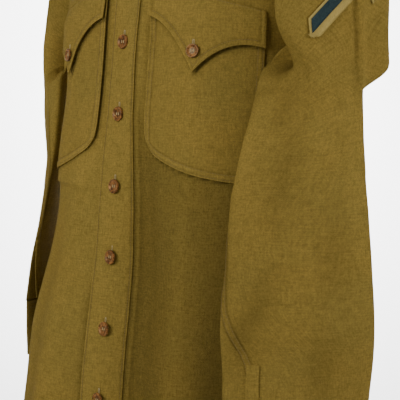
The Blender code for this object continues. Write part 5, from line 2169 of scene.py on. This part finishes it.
class SHIRT_OT_sleeves(bpy.types.Operator):
    """Make the sleeves, their cuffs and the strips at the openings"""
    bl_idname = "shirt.sleeves"
    bl_label = "Sleeves"

    def execute(self, context):
        for name in ("left", "right"):
            tube_object(name + "_sleeve", tube(name + "_sleeve"))
            tube_object(name + "_cuff", tube(name + "_cuff"))
            strip_object(name)
        return {"FINISHED"}


class SHIRT_OT_chevron(bpy.types.Operator):
    """Make the rank patch on the left sleeve"""
    bl_idname = "shirt.chevron"
    bl_label = "Rank patch"

    def execute(self, context):
        chevron_object()
        return {"FINISHED"}


class SHIRT_OT_collar(bpy.types.Operator):
    """Make the collar's stand and leaf"""
    bl_idname = "shirt.collar"
    bl_label = "Collar"

    def execute(self, context):
        collar_objects()
        return {"FINISHED"}


class SHIRT_OT_buttons(bpy.types.Operator):
    """Make the buttons and their sewn holes"""
    bl_idname = "shirt.buttons"
    bl_label = "Buttons"

    def execute(self, context):
        button_objects()
        buttonhole_objects()
        return {"FINISHED"}


class SHIRT_OT_sewing(bpy.types.Operator):
    """Sew the seams and edges"""
    bl_idname = "shirt.sewing"
    bl_label = "Sewing"

    def execute(self, context):
        sew_fronts()
        sew_placket()
        sew_pockets()
        sew_sleeves()
        sew_collar()
        return {"FINISHED"}


class SHIRT_OT_stage(bpy.types.Operator):
    """Make the studio and the camera"""
    bl_idname = "shirt.stage"
    bl_label = "Studio"

    def execute(self, context):
        stage_objects(context.scene.shirt_stage)
        camera_object(context.scene.shirt_stage)
        return {"FINISHED"}


class SHIRT_PT_panel(bpy.types.Panel):
    """The shirt's settings and pieces"""
    bl_label = "Wool Shirt"
    bl_space_type = "VIEW_3D"
    bl_region_type = "UI"
    bl_category = "Shirt"

    def draw(self, context):
        for title, group in (("Cloth", "shirt_cloth"), ("Patch", "shirt_patch"),
                             ("Buttons", "shirt_buttons"), ("Sewing", "shirt_sewing"),
                             ("Studio", "shirt_stage")):
            box = self.layout.box()
            box.label(text=title)
            settings = getattr(context.scene, group)
            for key in settings.__annotations__:
                box.prop(settings, key)
        for operator in OPERATORS:
            self.layout.operator(operator.bl_idname)


GROUPS = {
    "shirt_cloth": ShirtCloth,
    "shirt_patch": ShirtPatch,
    "shirt_buttons": ShirtButtons,
    "shirt_sewing": ShirtSewing,
    "shirt_stage": ShirtStage,
}
OPERATORS = (SHIRT_OT_fronts, SHIRT_OT_back, SHIRT_OT_placket, SHIRT_OT_pockets,
             SHIRT_OT_sleeves, SHIRT_OT_chevron, SHIRT_OT_collar, SHIRT_OT_buttons,
             SHIRT_OT_sewing, SHIRT_OT_stage)


def register():
    for group in GROUPS.values():
        bpy.utils.register_class(group)
    for name, group in GROUPS.items():
        setattr(bpy.types.Scene, name, PointerProperty(type=group))
    for operator in OPERATORS:
        bpy.utils.register_class(operator)
    bpy.utils.register_class(SHIRT_PT_panel)


def unregister():
    bpy.utils.unregister_class(SHIRT_PT_panel)
    for operator in reversed(OPERATORS):
        bpy.utils.unregister_class(operator)
    for name in GROUPS:
        delattr(bpy.types.Scene, name)
    for group in reversed(GROUPS.values()):
        bpy.utils.unregister_class(group)


def main():
    register()
    bpy.ops.shirt.stage()
    bpy.ops.shirt.fronts()
    bpy.ops.shirt.back()
    bpy.ops.shirt.placket()
    bpy.ops.shirt.pockets()
    bpy.ops.shirt.sleeves()
    bpy.ops.shirt.chevron()
    bpy.ops.shirt.collar()
    bpy.ops.shirt.buttons()
    bpy.ops.shirt.sewing()


if __name__ == "__main__":
    main()
